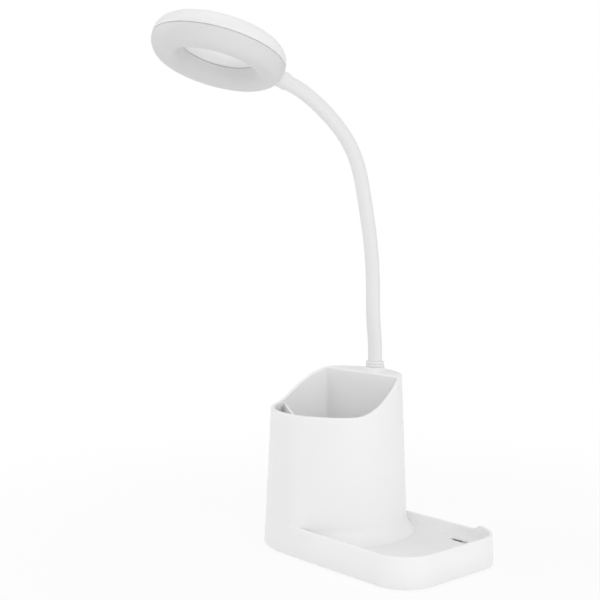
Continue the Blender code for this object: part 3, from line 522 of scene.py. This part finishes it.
def foam():
    """Dark foam rubber with open pores, with painted shade darkening the pores."""
    look = Look("foam_pad")
    # Painted shade: the pores get a darker colour than the skin, standing in for the shade in their
    # hollows
    painted_pore_shade = (0.03, 0.03, 0.03)
    skin_colour = (0.09, 0.09, 0.09)
    pores = look.cells(scale=1400)
    soft = look.noise(scale=300, detail=3)
    # Painted shade in the pores where the bump sinks, mixed with a random tone from the soft noise
    look.feed("Base Color", look.mix(pores * 0.7 + soft * 0.3, painted_pore_shade, skin_colour))
    look.feed("Roughness", 0.8 + soft * 0.15)
    look.bump(pores, 0.12 * mm, strength=0.7)
    return look.material


def circuit_board(name, mask, track):
    """Solder mask with faint tracks under it."""
    look = Look(name)
    weave = look.noise(scale=900, detail=2)
    bands = {"bands_direction": "X"}
    lines = look.node("ShaderNodeTexWave", bands, Vector=look.place, Scale=160.0, Distortion=1.5)
    track_edge = 0.62
    tracks = lines.over(track_edge)
    look.feed("Base Color", look.mix(tracks * 0.75 + weave * 0.2, mask, track))
    look.feed("Roughness", 0.3 + weave * 0.2)
    look.bump(tracks, 0.03 * mm, strength=0.6)
    return look.material


def pouch():
    """The cell's creased foil pouch, with painted shade darkening its creases."""
    look = Look("cell_pouch", Metallic=0.6)
    # Painted shade: the darker colour stands in for the shade in the foil's creases
    painted_crease_shade = (0.36, 0.37, 0.40)
    foil_colour = (0.58, 0.59, 0.61)
    creases = look.noise(scale=140, detail=4)
    # Painted shade: darker where the creases sink in the bump
    look.feed("Base Color", look.mix(creases, painted_crease_shade, foil_colour))
    look.feed("Roughness", 0.28 + creases * 0.2)
    look.bump(creases, 0.15 * mm, strength=0.7)
    return look.material


def diffusing():
    """Milky plastic: light scatters a little inside it."""
    glow_radius = (0.004, 0.004, 0.004)
    look = Look("milky_diffuser", Subsurface_Weight=0.25, Subsurface_Radius=glow_radius)
    shadow_colour = (0.735, 0.735, 0.735)
    colour = (0.765, 0.765, 0.765)
    cloud = look.noise(scale=40, detail=2)
    grain = look.noise(scale=2100, detail=2)
    look.feed("Base Color", look.mix(cloud, shadow_colour, colour))
    look.feed("Roughness", 0.42 + grain * 0.08)
    look.bump(grain, 0.012 * mm, strength=0.5)
    return look.material


white_plastic = moulded(
    "white_satin_plastic",
    colour=(0.93, 0.93, 0.93),
    shadow_colour=(0.91, 0.91, 0.912),
    roughness=0.36,
    grain_scale=1700,
    grain_depth=0.012 * mm,
    glow_share=0.4,
)
sleeve_plastic = moulded(
    "white_soft_sleeve",
    colour=(0.865, 0.865, 0.865),
    shadow_colour=(0.84, 0.84, 0.843),
    roughness=0.46,
    grain_scale=1300,
    grain_depth=0.01 * mm,
)
black_plastic = moulded(
    "black_plastic",
    colour=(0.06, 0.06, 0.062),
    shadow_colour=(0.045, 0.045, 0.047),
    roughness=0.42,
    grain_scale=1500,
    grain_depth=0.03 * mm,
)
milky_plastic = diffusing()
foam_rubber = foam()
steel = metal(
    "zinc_plated_steel",
    colour=(0.60, 0.60, 0.61),
    roughness=0.24,
    stretch=(0.1, 1, 1),
    depth=0.01 * mm,
)
nickel = metal(
    "nickel_plate",
    colour=(0.66, 0.64, 0.60),
    roughness=0.16,
    stretch=(1, 0.1, 1),
    depth=0.006 * mm,
)
green_board = circuit_board("green_solder_mask", mask=(0.02, 0.16, 0.07), track=(0.05, 0.27, 0.12))
white_board = circuit_board("white_solder_mask", mask=(0.78, 0.78, 0.76), track=(0.84, 0.84, 0.83))
cell_wrap = pouch()

finishes = {
    "white_plastic": white_plastic,
    "milky_plastic": milky_plastic,
    "white_sleeve": sleeve_plastic,
    "black_plastic": black_plastic,
    "foam_rubber": foam_rubber,
    "steel": steel,
    "nickel": nickel,
    "cell_wrap": cell_wrap,
    "green_board": green_board,
    "white_board": white_board,
}


def finish_with(made, slot_name):
    """Gives a finer piece the finish of one of the record's material slots."""
    made.data.materials.clear()
    made.data.materials.append(finishes[slot_name])


# Base housing

def cup_ring(height_at, inset):
    """A ring round the cup whose height may change with its depth, starting at its back."""
    ring = []
    for i in range(round_steps):
        turn = 90 * degree + 360 * degree * i / round_steps
        radius = outer_radius(cup_height) - inset
        for _ in range(radius_rounds):
            z = height_at(radius * math.sin(turn))
            radius = outer_radius(z) - inset
        ring.append((cup_x + radius * math.cos(turn), radius * math.sin(turn), z))
    return ring


def housing_envelope():
    """Skirt, tray sides and cup as one outer form, with the cup's rounded wave-shaped top."""
    shape = bmesh.new()
    rings = []
    for inset, rise in reversed(lip(foot_rounding, foot_steps)):
        outline = base_outline(inset)
        rings.append([shape.verts.new(point) for point in level(outline, skirt_gap + rise)])
    for edge, drop in lip(rim_rounding):
        z = rim_height - drop
        outline = base_outline((z - skirt_gap) * taper, edge)
        rings.append([shape.verts.new(point) for point in level(outline, z)])
    rim = rings[-1]
    half = round_steps // 2
    inner_arc = arc(cup_x, 0, outer_radius(rim_height), 270 * degree, 450 * degree, half)[1:-1]
    cup_rings = [rim[: half + 1] + [shape.verts.new(point) for point in level(inner_arc, rim_height)]]
    for i in range(1, rise_steps + 1):
        share = i / rise_steps
        ring = cup_ring(lambda y: rim_height + (rim_at(y) - cup_lip - rim_height) * share, 0.0)
        cup_rings.append([shape.verts.new(point) for point in ring])
    for inset, drop in lip(cup_lip)[1:]:
        ring = cup_ring(lambda y: rim_at(y) - drop, inset)
        cup_rings.append([shape.verts.new(point) for point in ring])
    shape.faces.new(rings[0])
    shape.faces.new(rim[half:] + [rim[0]] + cup_rings[0][:half:-1])
    for lower, upper in zip(rings, rings[1:]):
        bridge(shape, lower, upper)
    for lower, upper in zip(cup_rings, cup_rings[1:]):
        bridge(shape, lower, upper)
    top = cup_rings[-1]
    for i in range(half):
        corners = [top[i], top[i + 1], top[-i - 1], top[-i if i else 0]]
        shape.faces.new(list(dict.fromkeys(corners)))
    return new_object(shape, "base_and_cup")


def cup_stop(name):
    """The cup's wall with its flare into the tray, left standing by the tray's cutters."""
    bottom = tray_floor - long_overrun
    top = flare_top + long_overrun
    sections = [level(circle(cup_x, 0, outer_radius(bottom) + flare_width), bottom)]
    for i in range(flare_steps + 1):
        rise = math.sin(90 * degree * i / flare_steps)
        z = tray_floor + (flare_top - tray_floor) * rise
        radius = outer_radius(z) + wall_ledge + flare_width * (1 - rise) ** 2
        sections.append(level(circle(cup_x, 0, radius), z))
    sections.append(level(circle(cup_x, 0, outer_radius(top) + wall_ledge), top))
    return loft(name, sections)


def tray_pocket():
    """The tray's hollow, with a rounded foot and a rounded inner rim."""
    sections = []
    for inset, drop in reversed(lip(tray_fillet, fillet_steps)):
        sections.append(level(base_outline(wall + inset), tray_floor + drop))
    for edge, drop in lip(rim_rounding):
        z = rim_height - drop
        sections.append(level(base_outline(wall + (z - tray_floor) * taper, -edge), z))
    top = rim_height + rim_overrun
    sections.append(level(base_outline(wall + (rim_height - tray_floor) * taper, -rim_rounding), top))
    return loft("tray_pocket", sections)


def back_edge(distance, inset):
    """A point on the back side's outline, at a distance along it from the cup's middle."""
    corner_x = base_length / 2 - corner_radius
    beyond = cup_x + distance - corner_x
    if beyond <= 0:
        return cup_x + distance, base_width / 2 - inset
    turn = beyond / corner_radius
    radius = corner_radius - inset
    return corner_x + radius * math.sin(turn), base_width / 2 - corner_radius + radius * math.cos(turn)


def back_rim_step():
    """Takes the tray's back rim down, with a smooth rise to the higher corner."""
    top = rim_height + rim_overrun
    sections = []
    for i in range(-1, rim_step_steps + 1):
        distance = 0.0 if i < 0 else rim_step_start - cup_x + rim_step_length * i / rim_step_steps
        z = back_rim_height + (top - back_rim_height) * ease(i / rim_step_steps)
        outer = (z - skirt_gap) * taper
        inner = wall + (z - tray_floor) * taper
        profile = [(outer - overrun, top + overrun), (outer - overrun, z - rim_rounding)]
        profile += [(outer + inset, z - drop) for inset, drop in lip(rim_rounding)]
        profile += [(inner - inset, z - drop) for inset, drop in reversed(lip(rim_rounding))]
        profile += [(inner + overrun, z - rim_rounding), (inner + overrun, top + overrun)]
        sections.append([(*back_edge(distance, inset), height) for inset, height in profile])
    return loft("back_rim_step", sections)


def room_ring(height_at, inset):
    """A ring round the pen room: its curved wall, a rounded corner, its flat back and a corner."""
    line = partition_face - inset
    corner = room_corner - inset
    reach = inner_radius(height_at(line)) - inset - corner
    corner_x = math.sqrt(reach ** 2 - (line - corner) ** 2)
    edge = math.atan2(line - corner, corner_x)
    ring = []
    for i in range(room_steps + 1):
        turn = math.pi - edge + (math.pi + 2 * edge) * i / room_steps
        radius = reach + corner
        for _ in range(radius_rounds):
            z = height_at(radius * math.sin(turn))
            radius = inner_radius(z) - inset
        ring.append((cup_x + radius * math.cos(turn), radius * math.sin(turn), z))
    right = arc(corner_x, line - corner, corner, edge, 90 * degree, small_corner_steps)[1:]
    left = [(-x, y) for x, y in reversed(right)]
    flat = [(corner_x * (1 - 2 * i / room_flat_steps), line) for i in range(1, room_flat_steps)]
    return ring + [(cup_x + x, y, height_at(y)) for x, y in right + flat + left]


def pen_room():
    """The pen cup's hollow, which widens over the rim's rounded inner edge."""
    sections = []
    for inset, drop in reversed(lip(cup_fillet, fillet_steps)):
        sections.append(room_ring(lambda y: cup_floor + drop, inset))
    foot = cup_floor + cup_fillet
    for i in range(1, room_rise_steps + 1):
        share = i / room_rise_steps
        sections.append(room_ring(lambda y: foot + (rim_at(y) - cup_lip - foot) * share, 0.0))
    for inset, drop in lip(cup_lip)[1:]:
        sections.append(room_ring(lambda y: rim_at(y) - drop, -inset))
    sections.append(room_ring(lambda y: rim_at(y) + room_overrun, -cup_lip))
    top = cup_height + long_overrun
    sections.append(room_ring(lambda y: top, -cup_lip))
    return loft("pen_room", sections)


def divider():
    """The thin wall of the slim pocket, with a rounded top edge."""
    low = cup_floor - overrun
    half = divider_thickness / 2
    edge = arc(0, 0, half, 0, 180 * degree, divider_steps)
    section = [(divider_distance, low), (divider_distance + divider_thickness, low)]
    section += [(divider_distance + half + y, divider_top - half + z) for y, z in edge]
    outward = at(cup_x, 0) @ Matrix.Rotation(divider_turn, 4, "Z")
    sections = []
    for x in (-base_width / 2, base_width / 2):
        sections.append([outward @ Vector((x, y, z)) for y, z in section])
    return loft("divider", sections)


def rear_room():
    """The room behind the partition, where the neck is fixed."""
    low = cup_ceiling - rear_floor_cut
    low_radius = outer_radius(low) - skirt_wall - rear_side_gap
    high_radius = inner_radius(shoulder_underside)
    sections = []
    for z, radius in ((low, low_radius), (shoulder_underside, high_radius)):
        edge = math.asin(rear_room_front / radius)
        sections.append(level(arc(cup_x, 0, radius, edge, math.pi - edge, rear_room_steps), z))
    return loft("rear_room", sections)


def under_rooms():
    """The rooms under the cup and the tray, open to the bottom."""
    sections = []
    for z in (-overrun, cup_ceiling):
        sections.append(level(circle(cup_x, 0, outer_radius(z) - skirt_wall, fine_steps), z))
    round_room = loft("cup_underside", sections)
    sections = []
    for z in (-overrun, tray_ceiling):
        outline = base_outline(skirt_wall + (z - skirt_gap) * taper)[round_steps // 2 + 1 :]
        side = outline[-1][1]
        start_x = cup_x + tray_room_gap
        sections.append(level([(start_x, side), (start_x, -side), *outline], z))
    return round_room, loft("tray_underside", sections)


def charge_opening():
    """A round-ended slot in the back, with a small chamfer round it."""
    face = outer_radius(charge_height)
    rows = (
        (face - charge_reach, 0),
        (face - charge_edge_depth, 0),
        (face, charge_edge),
        (face + charge_overrun, charge_edge),
    )
    sections = []
    for y, grow in rows:
        length = charge_width + 2 * grow
        height = charge_slot_height + 2 * grow
        outline = rounded_rectangle(length, height, height / 2 - charge_end_gap)
        sections.append([(cup_x + x, y, charge_height + z) for x, z in outline])
    return loft("charge_opening", sections)


def light_opening():
    """The charge light's bore, wider at the face."""
    face = math.sqrt(outer_radius(charge_height) ** 2 - light_offset ** 2)
    rows = (
        (face - light_reach, light_bore),
        (face - light_edge_depth, light_bore),
        (face + light_overrun, light_bore + light_edge),
    )
    sections = []
    for y, radius in rows:
        outline = circle(0, 0, radius, light_steps)
        sections.append([(cup_x + light_offset + x, y, charge_height + z) for x, z in outline])
    return loft("light_opening", sections)


def switch_opening():
    """The switch's slot in the tray floor, with a chamfer round it."""
    rows = (
        (tray_ceiling - overrun, 0),
        (tray_floor - slot_edge, 0),
        (tray_floor, slot_edge),
        (tray_floor + overrun, slot_edge),
    )
    sections = []
    for z, grow in rows:
        outline = rounded_rectangle(slot_length + 2 * grow, slot_width + 2 * grow, slot_corner + grow)
        sections.append([(switch_x + x, switch_y + y, z) for x, y in outline])
    return loft("switch_opening", sections)


def neck_boss():
    """The low flared boss that the collar stands on."""
    foot = boss_foot_radius
    top = boss_top_radius
    sections = [level(circle(neck_x, neck_y, foot, fine_steps), cup_height - boss_sink)]
    for i in range(boss_steps + 1):
        share = i / boss_steps
        radius = top + (foot - top) * (1 - share) ** boss_flare_power
        outline = circle(neck_x, neck_y, radius, fine_steps)
        sections.append(level(outline, cup_height + boss_side_rise * share))
    outline = circle(neck_x, neck_y, top - boss_edge, fine_steps)
    sections.append(level(outline, cup_height + boss_rise))
    return loft("neck_boss", sections)


def neck_hole():
    outline = circle(neck_x, neck_y, neck_bore, bore_steps)
    heights = (shoulder_underside - overrun, cup_height + long_overrun)
    return loft("neck_bore", [level(outline, z) for z in heights])


def base_and_cup():
    """The whole moulding: the outer form less its rooms and openings."""
    housing = housing_envelope()
    helpers = []
    pocket = tray_pocket()
    step = back_rim_step()
    for cutter in (pocket, step):
        helpers.append(combine(cutter, cup_stop(cutter.name + "_stop"), "DIFFERENCE"))
    room = pen_room()
    helpers.append(combine(room, divider(), "DIFFERENCE"))
    for cutter in (pocket, step, room, rear_room(), *under_rooms()):
        helpers.append(combine(housing, cutter, "DIFFERENCE"))
    helpers.append(combine(housing, neck_boss(), "UNION"))
    bore = neck_hole()
    for cutter in (charge_opening(), light_opening(), switch_opening(), bore):
        helpers.append(combine(housing, cutter, "DIFFERENCE"))
    settle(housing, helpers)
    shade(housing)
    finish_with(housing, "white_plastic")
    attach(housing, "base")
    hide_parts("base_housing")


# Gooseneck

def lean_at(share):
    """The neck's lean from upright, smoothly through the listed angles."""
    shares = neck_bend_shares
    angles = neck_bend_angles
    i = max(k for k in range(len(shares) - 1) if k == 0 or share >= shares[k])
    slopes = []
    for k in (i, i + 1):
        before = max(k - 1, 0)
        after = min(k + 1, len(shares) - 1)
        is_level = angles[k] in (angles[before], angles[after])
        if 0 < k < len(shares) - 1 and not is_level:
            slopes.append((angles[after] - angles[before]) / (shares[after] - shares[before]))
        else:
            slopes.append(0)
    span = shares[i + 1] - shares[i]
    t = (share - shares[i]) / span
    start = (2 * t ** 3 - 3 * t ** 2 + 1) * angles[i] + (t ** 3 - 2 * t ** 2 + t) * span * slopes[0]
    end = (3 * t ** 2 - 2 * t ** 3) * angles[i + 1] + (t ** 3 - t ** 2) * span * slopes[1]
    return (start + end) * degree


def neck_line():
    """(point, lean) pairs along the neck's centre line."""
    point = Vector((neck_x, neck_y, neck_foot))
    line = [(point, lean_at(0))]
    for i in range(neck_line_steps):
        lean = lean_at((i + 0.5) / neck_line_steps)
        along = Vector((0, -math.sin(lean), math.cos(lean)))
        point = point + along * (neck_length / neck_line_steps)
        line.append((point, lean_at((i + 1) / neck_line_steps)))
    return line


centre_line = neck_line()


def neck_frame(distance):
    """Origin on the neck's centre line, Z along it and X along the lamp's X."""
    inside = min(max(distance, 0), neck_length)
    place = inside / neck_length * (len(centre_line) - 1)
    i = min(int(place), len(centre_line) - 2)
    (start, start_lean), (end, end_lean) = centre_line[i], centre_line[i + 1]
    lean = start_lean + (end_lean - start_lean) * (place - i)
    along = Vector((0, -math.sin(lean), math.cos(lean)))
    point = start.lerp(end, place - i) + along * (distance - inside)
    return Matrix.Translation(point) @ Matrix.Rotation(lean, 4, "X")


def neck_piece(name, start, end):
    """A length of the sleeve, smooth from end to end."""
    steps = max(round((end - start) / section_spacing), fewest_neck_steps)
    outline = level(circle(0, 0, neck_radius, neck_sides), 0)
    sections = []
    for i in range(steps + 1):
        place = neck_frame(start + (end - start) * i / steps)
        sections.append([place @ Vector(point) for point in outline])
    return shade(loft(name, sections), neck_sharp_angle)


def neck_pieces():
    """One piece over each hinge, from the middle of one link to the middle of the next."""
    for number in range(1, hinge_count + 1):
        is_last = number == hinge_count
        hinge = first_hinge + hinge_pitch * (number - 1)
        start = cover_start if number == 1 else hinge - hinge_pitch / 2
        end = neck_length - cover_end_gap if is_last else hinge + hinge_pitch / 2
        piece = neck_piece(f"neck_cover_{number}", start, end)
        finish_with(piece, "white_sleeve")
        low = neck_frame(hinge - bend_reach).translation
        high = neck_frame(hinge + bend_reach).translation
        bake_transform(piece)
        skins = (number, number + 1) if is_last else (number,)
        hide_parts(*[f"neck_skin_{k}" for k in skins])


def neck_collar():
    """The collar round the neck's foot: two rounded bands with a groove between them."""
    middle = (collar_low + collar_high) / 2
    edge = lip(collar_edge, collar_edge_steps)
    profile = [(collar_radius - inset, collar_low + drop) for inset, drop in reversed(edge)]
    profile += [(collar_radius - inset, middle - drop) for inset, drop in edge]
    profile += [(collar_radius - inset, middle + drop) for inset, drop in edge[-2::-1]]
    profile += [(collar_radius - inset, collar_high - drop) for inset, drop in edge]
    inner = neck_radius + collar_gap
    seat = collar_high - collar_seat
    profile += [(inner, collar_high), (inner, seat), (neck_bore, seat), (neck_bore, collar_low)]
    collar = turned("foot_collar", profile, at(neck_x, neck_y), fine_steps)
    shade(collar, neck_sharp_angle)
    finish_with(collar, "white_plastic")
    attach(collar, "base")
    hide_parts("neck_collar")


# Ring head

along_y = Matrix.Rotation(-90 * degree, 4, "X")
head = neck_frame(neck_length) @ along_y @ at(0, -ring_side, -neck_rise)


def shell_profile(side, thickness):
    """Half of the ring's hollow section, with rounded edges at the seam."""
    gap = seam_gap / 2
    edge = math.asin(gap / ring_half_height)
    points = []
    for i in range(shell_steps + 1):
        turn = edge + (math.pi - 2 * edge) * i / shell_steps
        pull = seam_edge if i in (0, shell_steps) else 0.0
        radius = ring_radius + (ring_half_width - pull) * math.cos(turn)
        points.append((radius, side * ring_half_height * math.sin(turn)))
    inner_width = ring_half_width - thickness
    inner_height = ring_half_height - thickness
    inner_edge = math.asin(gap / inner_height)
    for i in range(shell_inner_steps + 1):
        turn = math.pi - inner_edge - (math.pi - 2 * inner_edge) * i / shell_inner_steps
        radius = ring_radius + inner_width * math.cos(turn)
        points.append((radius, side * inner_height * math.sin(turn)))
    return points


def ring_halves():
    """The ring's two shells, and the ribs that close the seam between them."""
    upper = turned("ring_upper_shell", shell_profile(1, upper_wall), head)
    lower = turned("ring_lower_diffuser", shell_profile(-1, lower_wall), head)
    shells = (
        (upper, "head_housing", "white_plastic"),
        (lower, "diffuser", "milky_plastic"),
    )
    for piece, node, slot_name in shells:
        shade(piece, ring_sharp_angle)
        finish_with(piece, slot_name)
        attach(piece, "head")
        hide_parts(node)
    for name, side in (("seam_rib_outer", 1), ("seam_rib_inner", -1)):
        near = ring_radius + side * (ring_half_width - seam_depth)
        far = near - side * rib_thickness
        half = seam_gap / 2 - rib_gap
        rib = shade(turned(name, [(near, -half), (near, half), (far, half), (far, -half)], head))
        finish_with(rib, "white_plastic")
        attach(rib, "head")


def head_sleeve():
    """The short sleeve over the joint of neck and head, its end shaped to the ring."""
    end = ring_side + sleeve_length
    edge = lip(sleeve_edge, sleeve_edge_steps)
    sections = []
    for i in range(fine_steps):
        turn = 360 * degree * i / fine_steps
        x = math.cos(turn)
        z = math.sin(turn)
        depth = ring_depth(x * sleeve_radius, neck_rise + z * sleeve_radius)
        start = depth + sleeve_start_gap
        section = [(sleeve_radius, start + (end - start) * share) for share in sleeve_shares]
        section += [(sleeve_radius - inset, end - drop) for inset, drop in edge]
        section += [(sleeve_bore, end), (sleeve_bore, start)]
        points = [(x * radius, y, neck_rise + z * radius) for radius, y in section]
        sections.append([head @ Vector(point) for point in points])
    sleeve = loft("neck_end_sleeve", sections, is_capped=False, is_closed=True)
    shade(sleeve, sleeve_sharp_angle)
    finish_with(sleeve, "white_sleeve")
    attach(sleeve, "head")
    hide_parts("head_sleeve")


def ring_depth(x, z):
    """How far out the ring's surface lies beside the neck, at a place across and above its middle."""
    reach = ring_radius + ring_half_width * math.sqrt(max(1 - (z / ring_half_height) ** 2, 0))
    return math.sqrt(max(reach ** 2 - x ** 2, 0))


# Stage, light and camera

def floor():
    """A pale floor that the camera sees white but for the lamp's own soft shadow."""
    shape = bmesh.new()
    bmesh.ops.create_grid(
        shape,
        x_segments=floor_segments,
        y_segments=floor_segments,
        size=floor_half_size,
    )
    made = new_object(shape, "floor")
    material = bpy.data.materials.new("pale_floor")
    material.use_nodes = True
    nodes = Nodes(material.node_tree)
    nodes.tree.nodes.clear()
    ray = nodes.node("ShaderNodeLightPath", {}, output="Is Camera Ray")
    glossy = Number(nodes, ray.socket.node.outputs["Is Glossy Ray"])
    through = Number(nodes, ray.socket.node.outputs["Is Transmission Ray"])
    seen = ray.most(glossy).most(through)
    place = nodes.node("ShaderNodeTexCoord", {}, output="Object")
    distance = nodes.node("ShaderNodeVectorMath", {"operation": "LENGTH"}, place, output="Value")
    far = distance.rise(shadow_radius, floor_fade_radius)
    paint = nodes.node("ShaderNodeBsdfDiffuse", {}, (*stage_white, 1))
    glow = nodes.node("ShaderNodeEmission", {}, (1, 1, 1, 1), 1.0)
    share = seen * (floor_glow_share + (1 - floor_glow_share) * far)
    surface = nodes.node("ShaderNodeMixShader", {}, share, paint, glow)
    nodes.node("ShaderNodeOutputMaterial", {}, surface)
    made.data.materials.append(material)


def world():
    """An even white room, which the camera sees as white."""
    made = bpy.data.worlds.new("soft_studio")
    bpy.context.scene.world = made
    made.use_nodes = True
    nodes = Nodes(made.node_tree)
    ray = nodes.node("ShaderNodeLightPath", {}, output="Is Camera Ray")
    strength = ray * (1 - room_light) + room_light
    sky = made.node_tree.nodes["Background"]
    nodes.connect(sky.inputs["Color"], (1, 1, 1, 1))
    nodes.connect(sky.inputs["Strength"], strength)


def soft_light(name, place, aim, size, power):
    data = bpy.data.lights.new(name, "AREA")
    data.shape = "DISK"
    data.size = size
    data.energy = power
    made = bpy.data.objects.new(name, data)
    bpy.context.scene.collection.objects.link(made)
    made.location = place
    made.rotation_euler = (Vector(aim) - Vector(place)).to_track_quat("-Z", "Y").to_euler()


def camera():
    """The camera where the photograph was taken from, as fitted to its outlines."""
    turn = camera_turn
    dip = camera_dip
    roll = camera_roll
    forward = Vector((-math.sin(turn) * math.cos(dip), math.cos(turn) * math.cos(dip), -math.sin(dip)))
    level_right = forward.cross(Vector((0, 0, 1))).normalized()
    level_up = level_right.cross(forward)
    right = level_right * math.cos(roll) + level_up * math.sin(roll)
    up = level_up * math.cos(roll) - level_right * math.sin(roll)
    data = bpy.data.cameras.new("camera")
    data.sensor_fit = "HORIZONTAL"
    data.sensor_width = sensor_width
    data.lens = focal_length_in_pixels / picture_width_in_pixels * sensor_width
    data.clip_start = camera_clip
    made = bpy.data.objects.new("camera", data)
    bpy.context.scene.collection.objects.link(made)
    rows = zip(right, up, -forward, camera_place)
    made.matrix_world = Matrix([*[list(row) for row in rows], [0, 0, 0, 1]])
    bpy.context.scene.camera = made


camera()
base_and_cup()
neck_pieces()
neck_collar()
ring_halves()
head_sleeve()
for subpart in frame["record"]["subparts"]:
    node = frame["nodes"][subpart["node"]]
    node.data.materials.clear()
    node.data.materials.append(finishes[subpart["material_slot"]])
floor()
world()
soft_light("key_light", place=(1.05, -0.85, 0.55), aim=(0, 0, 0.1), size=0.9, power=2.1)
soft_light("right_light", place=(1.35, -0.1, 0.45), aim=(0, 0, 0.1), size=0.9, power=2.2)
soft_light("left_light", place=(-1.0, -0.85, 0.7), aim=(0, 0, 0.1), size=0.9, power=2.3)
soft_light("top_light", place=(-0.1, 0.15, 2.0), aim=(0, 0, 0.05), size=1.2, power=2.8)
bpy.context.scene.view_settings.view_transform = "Standard"
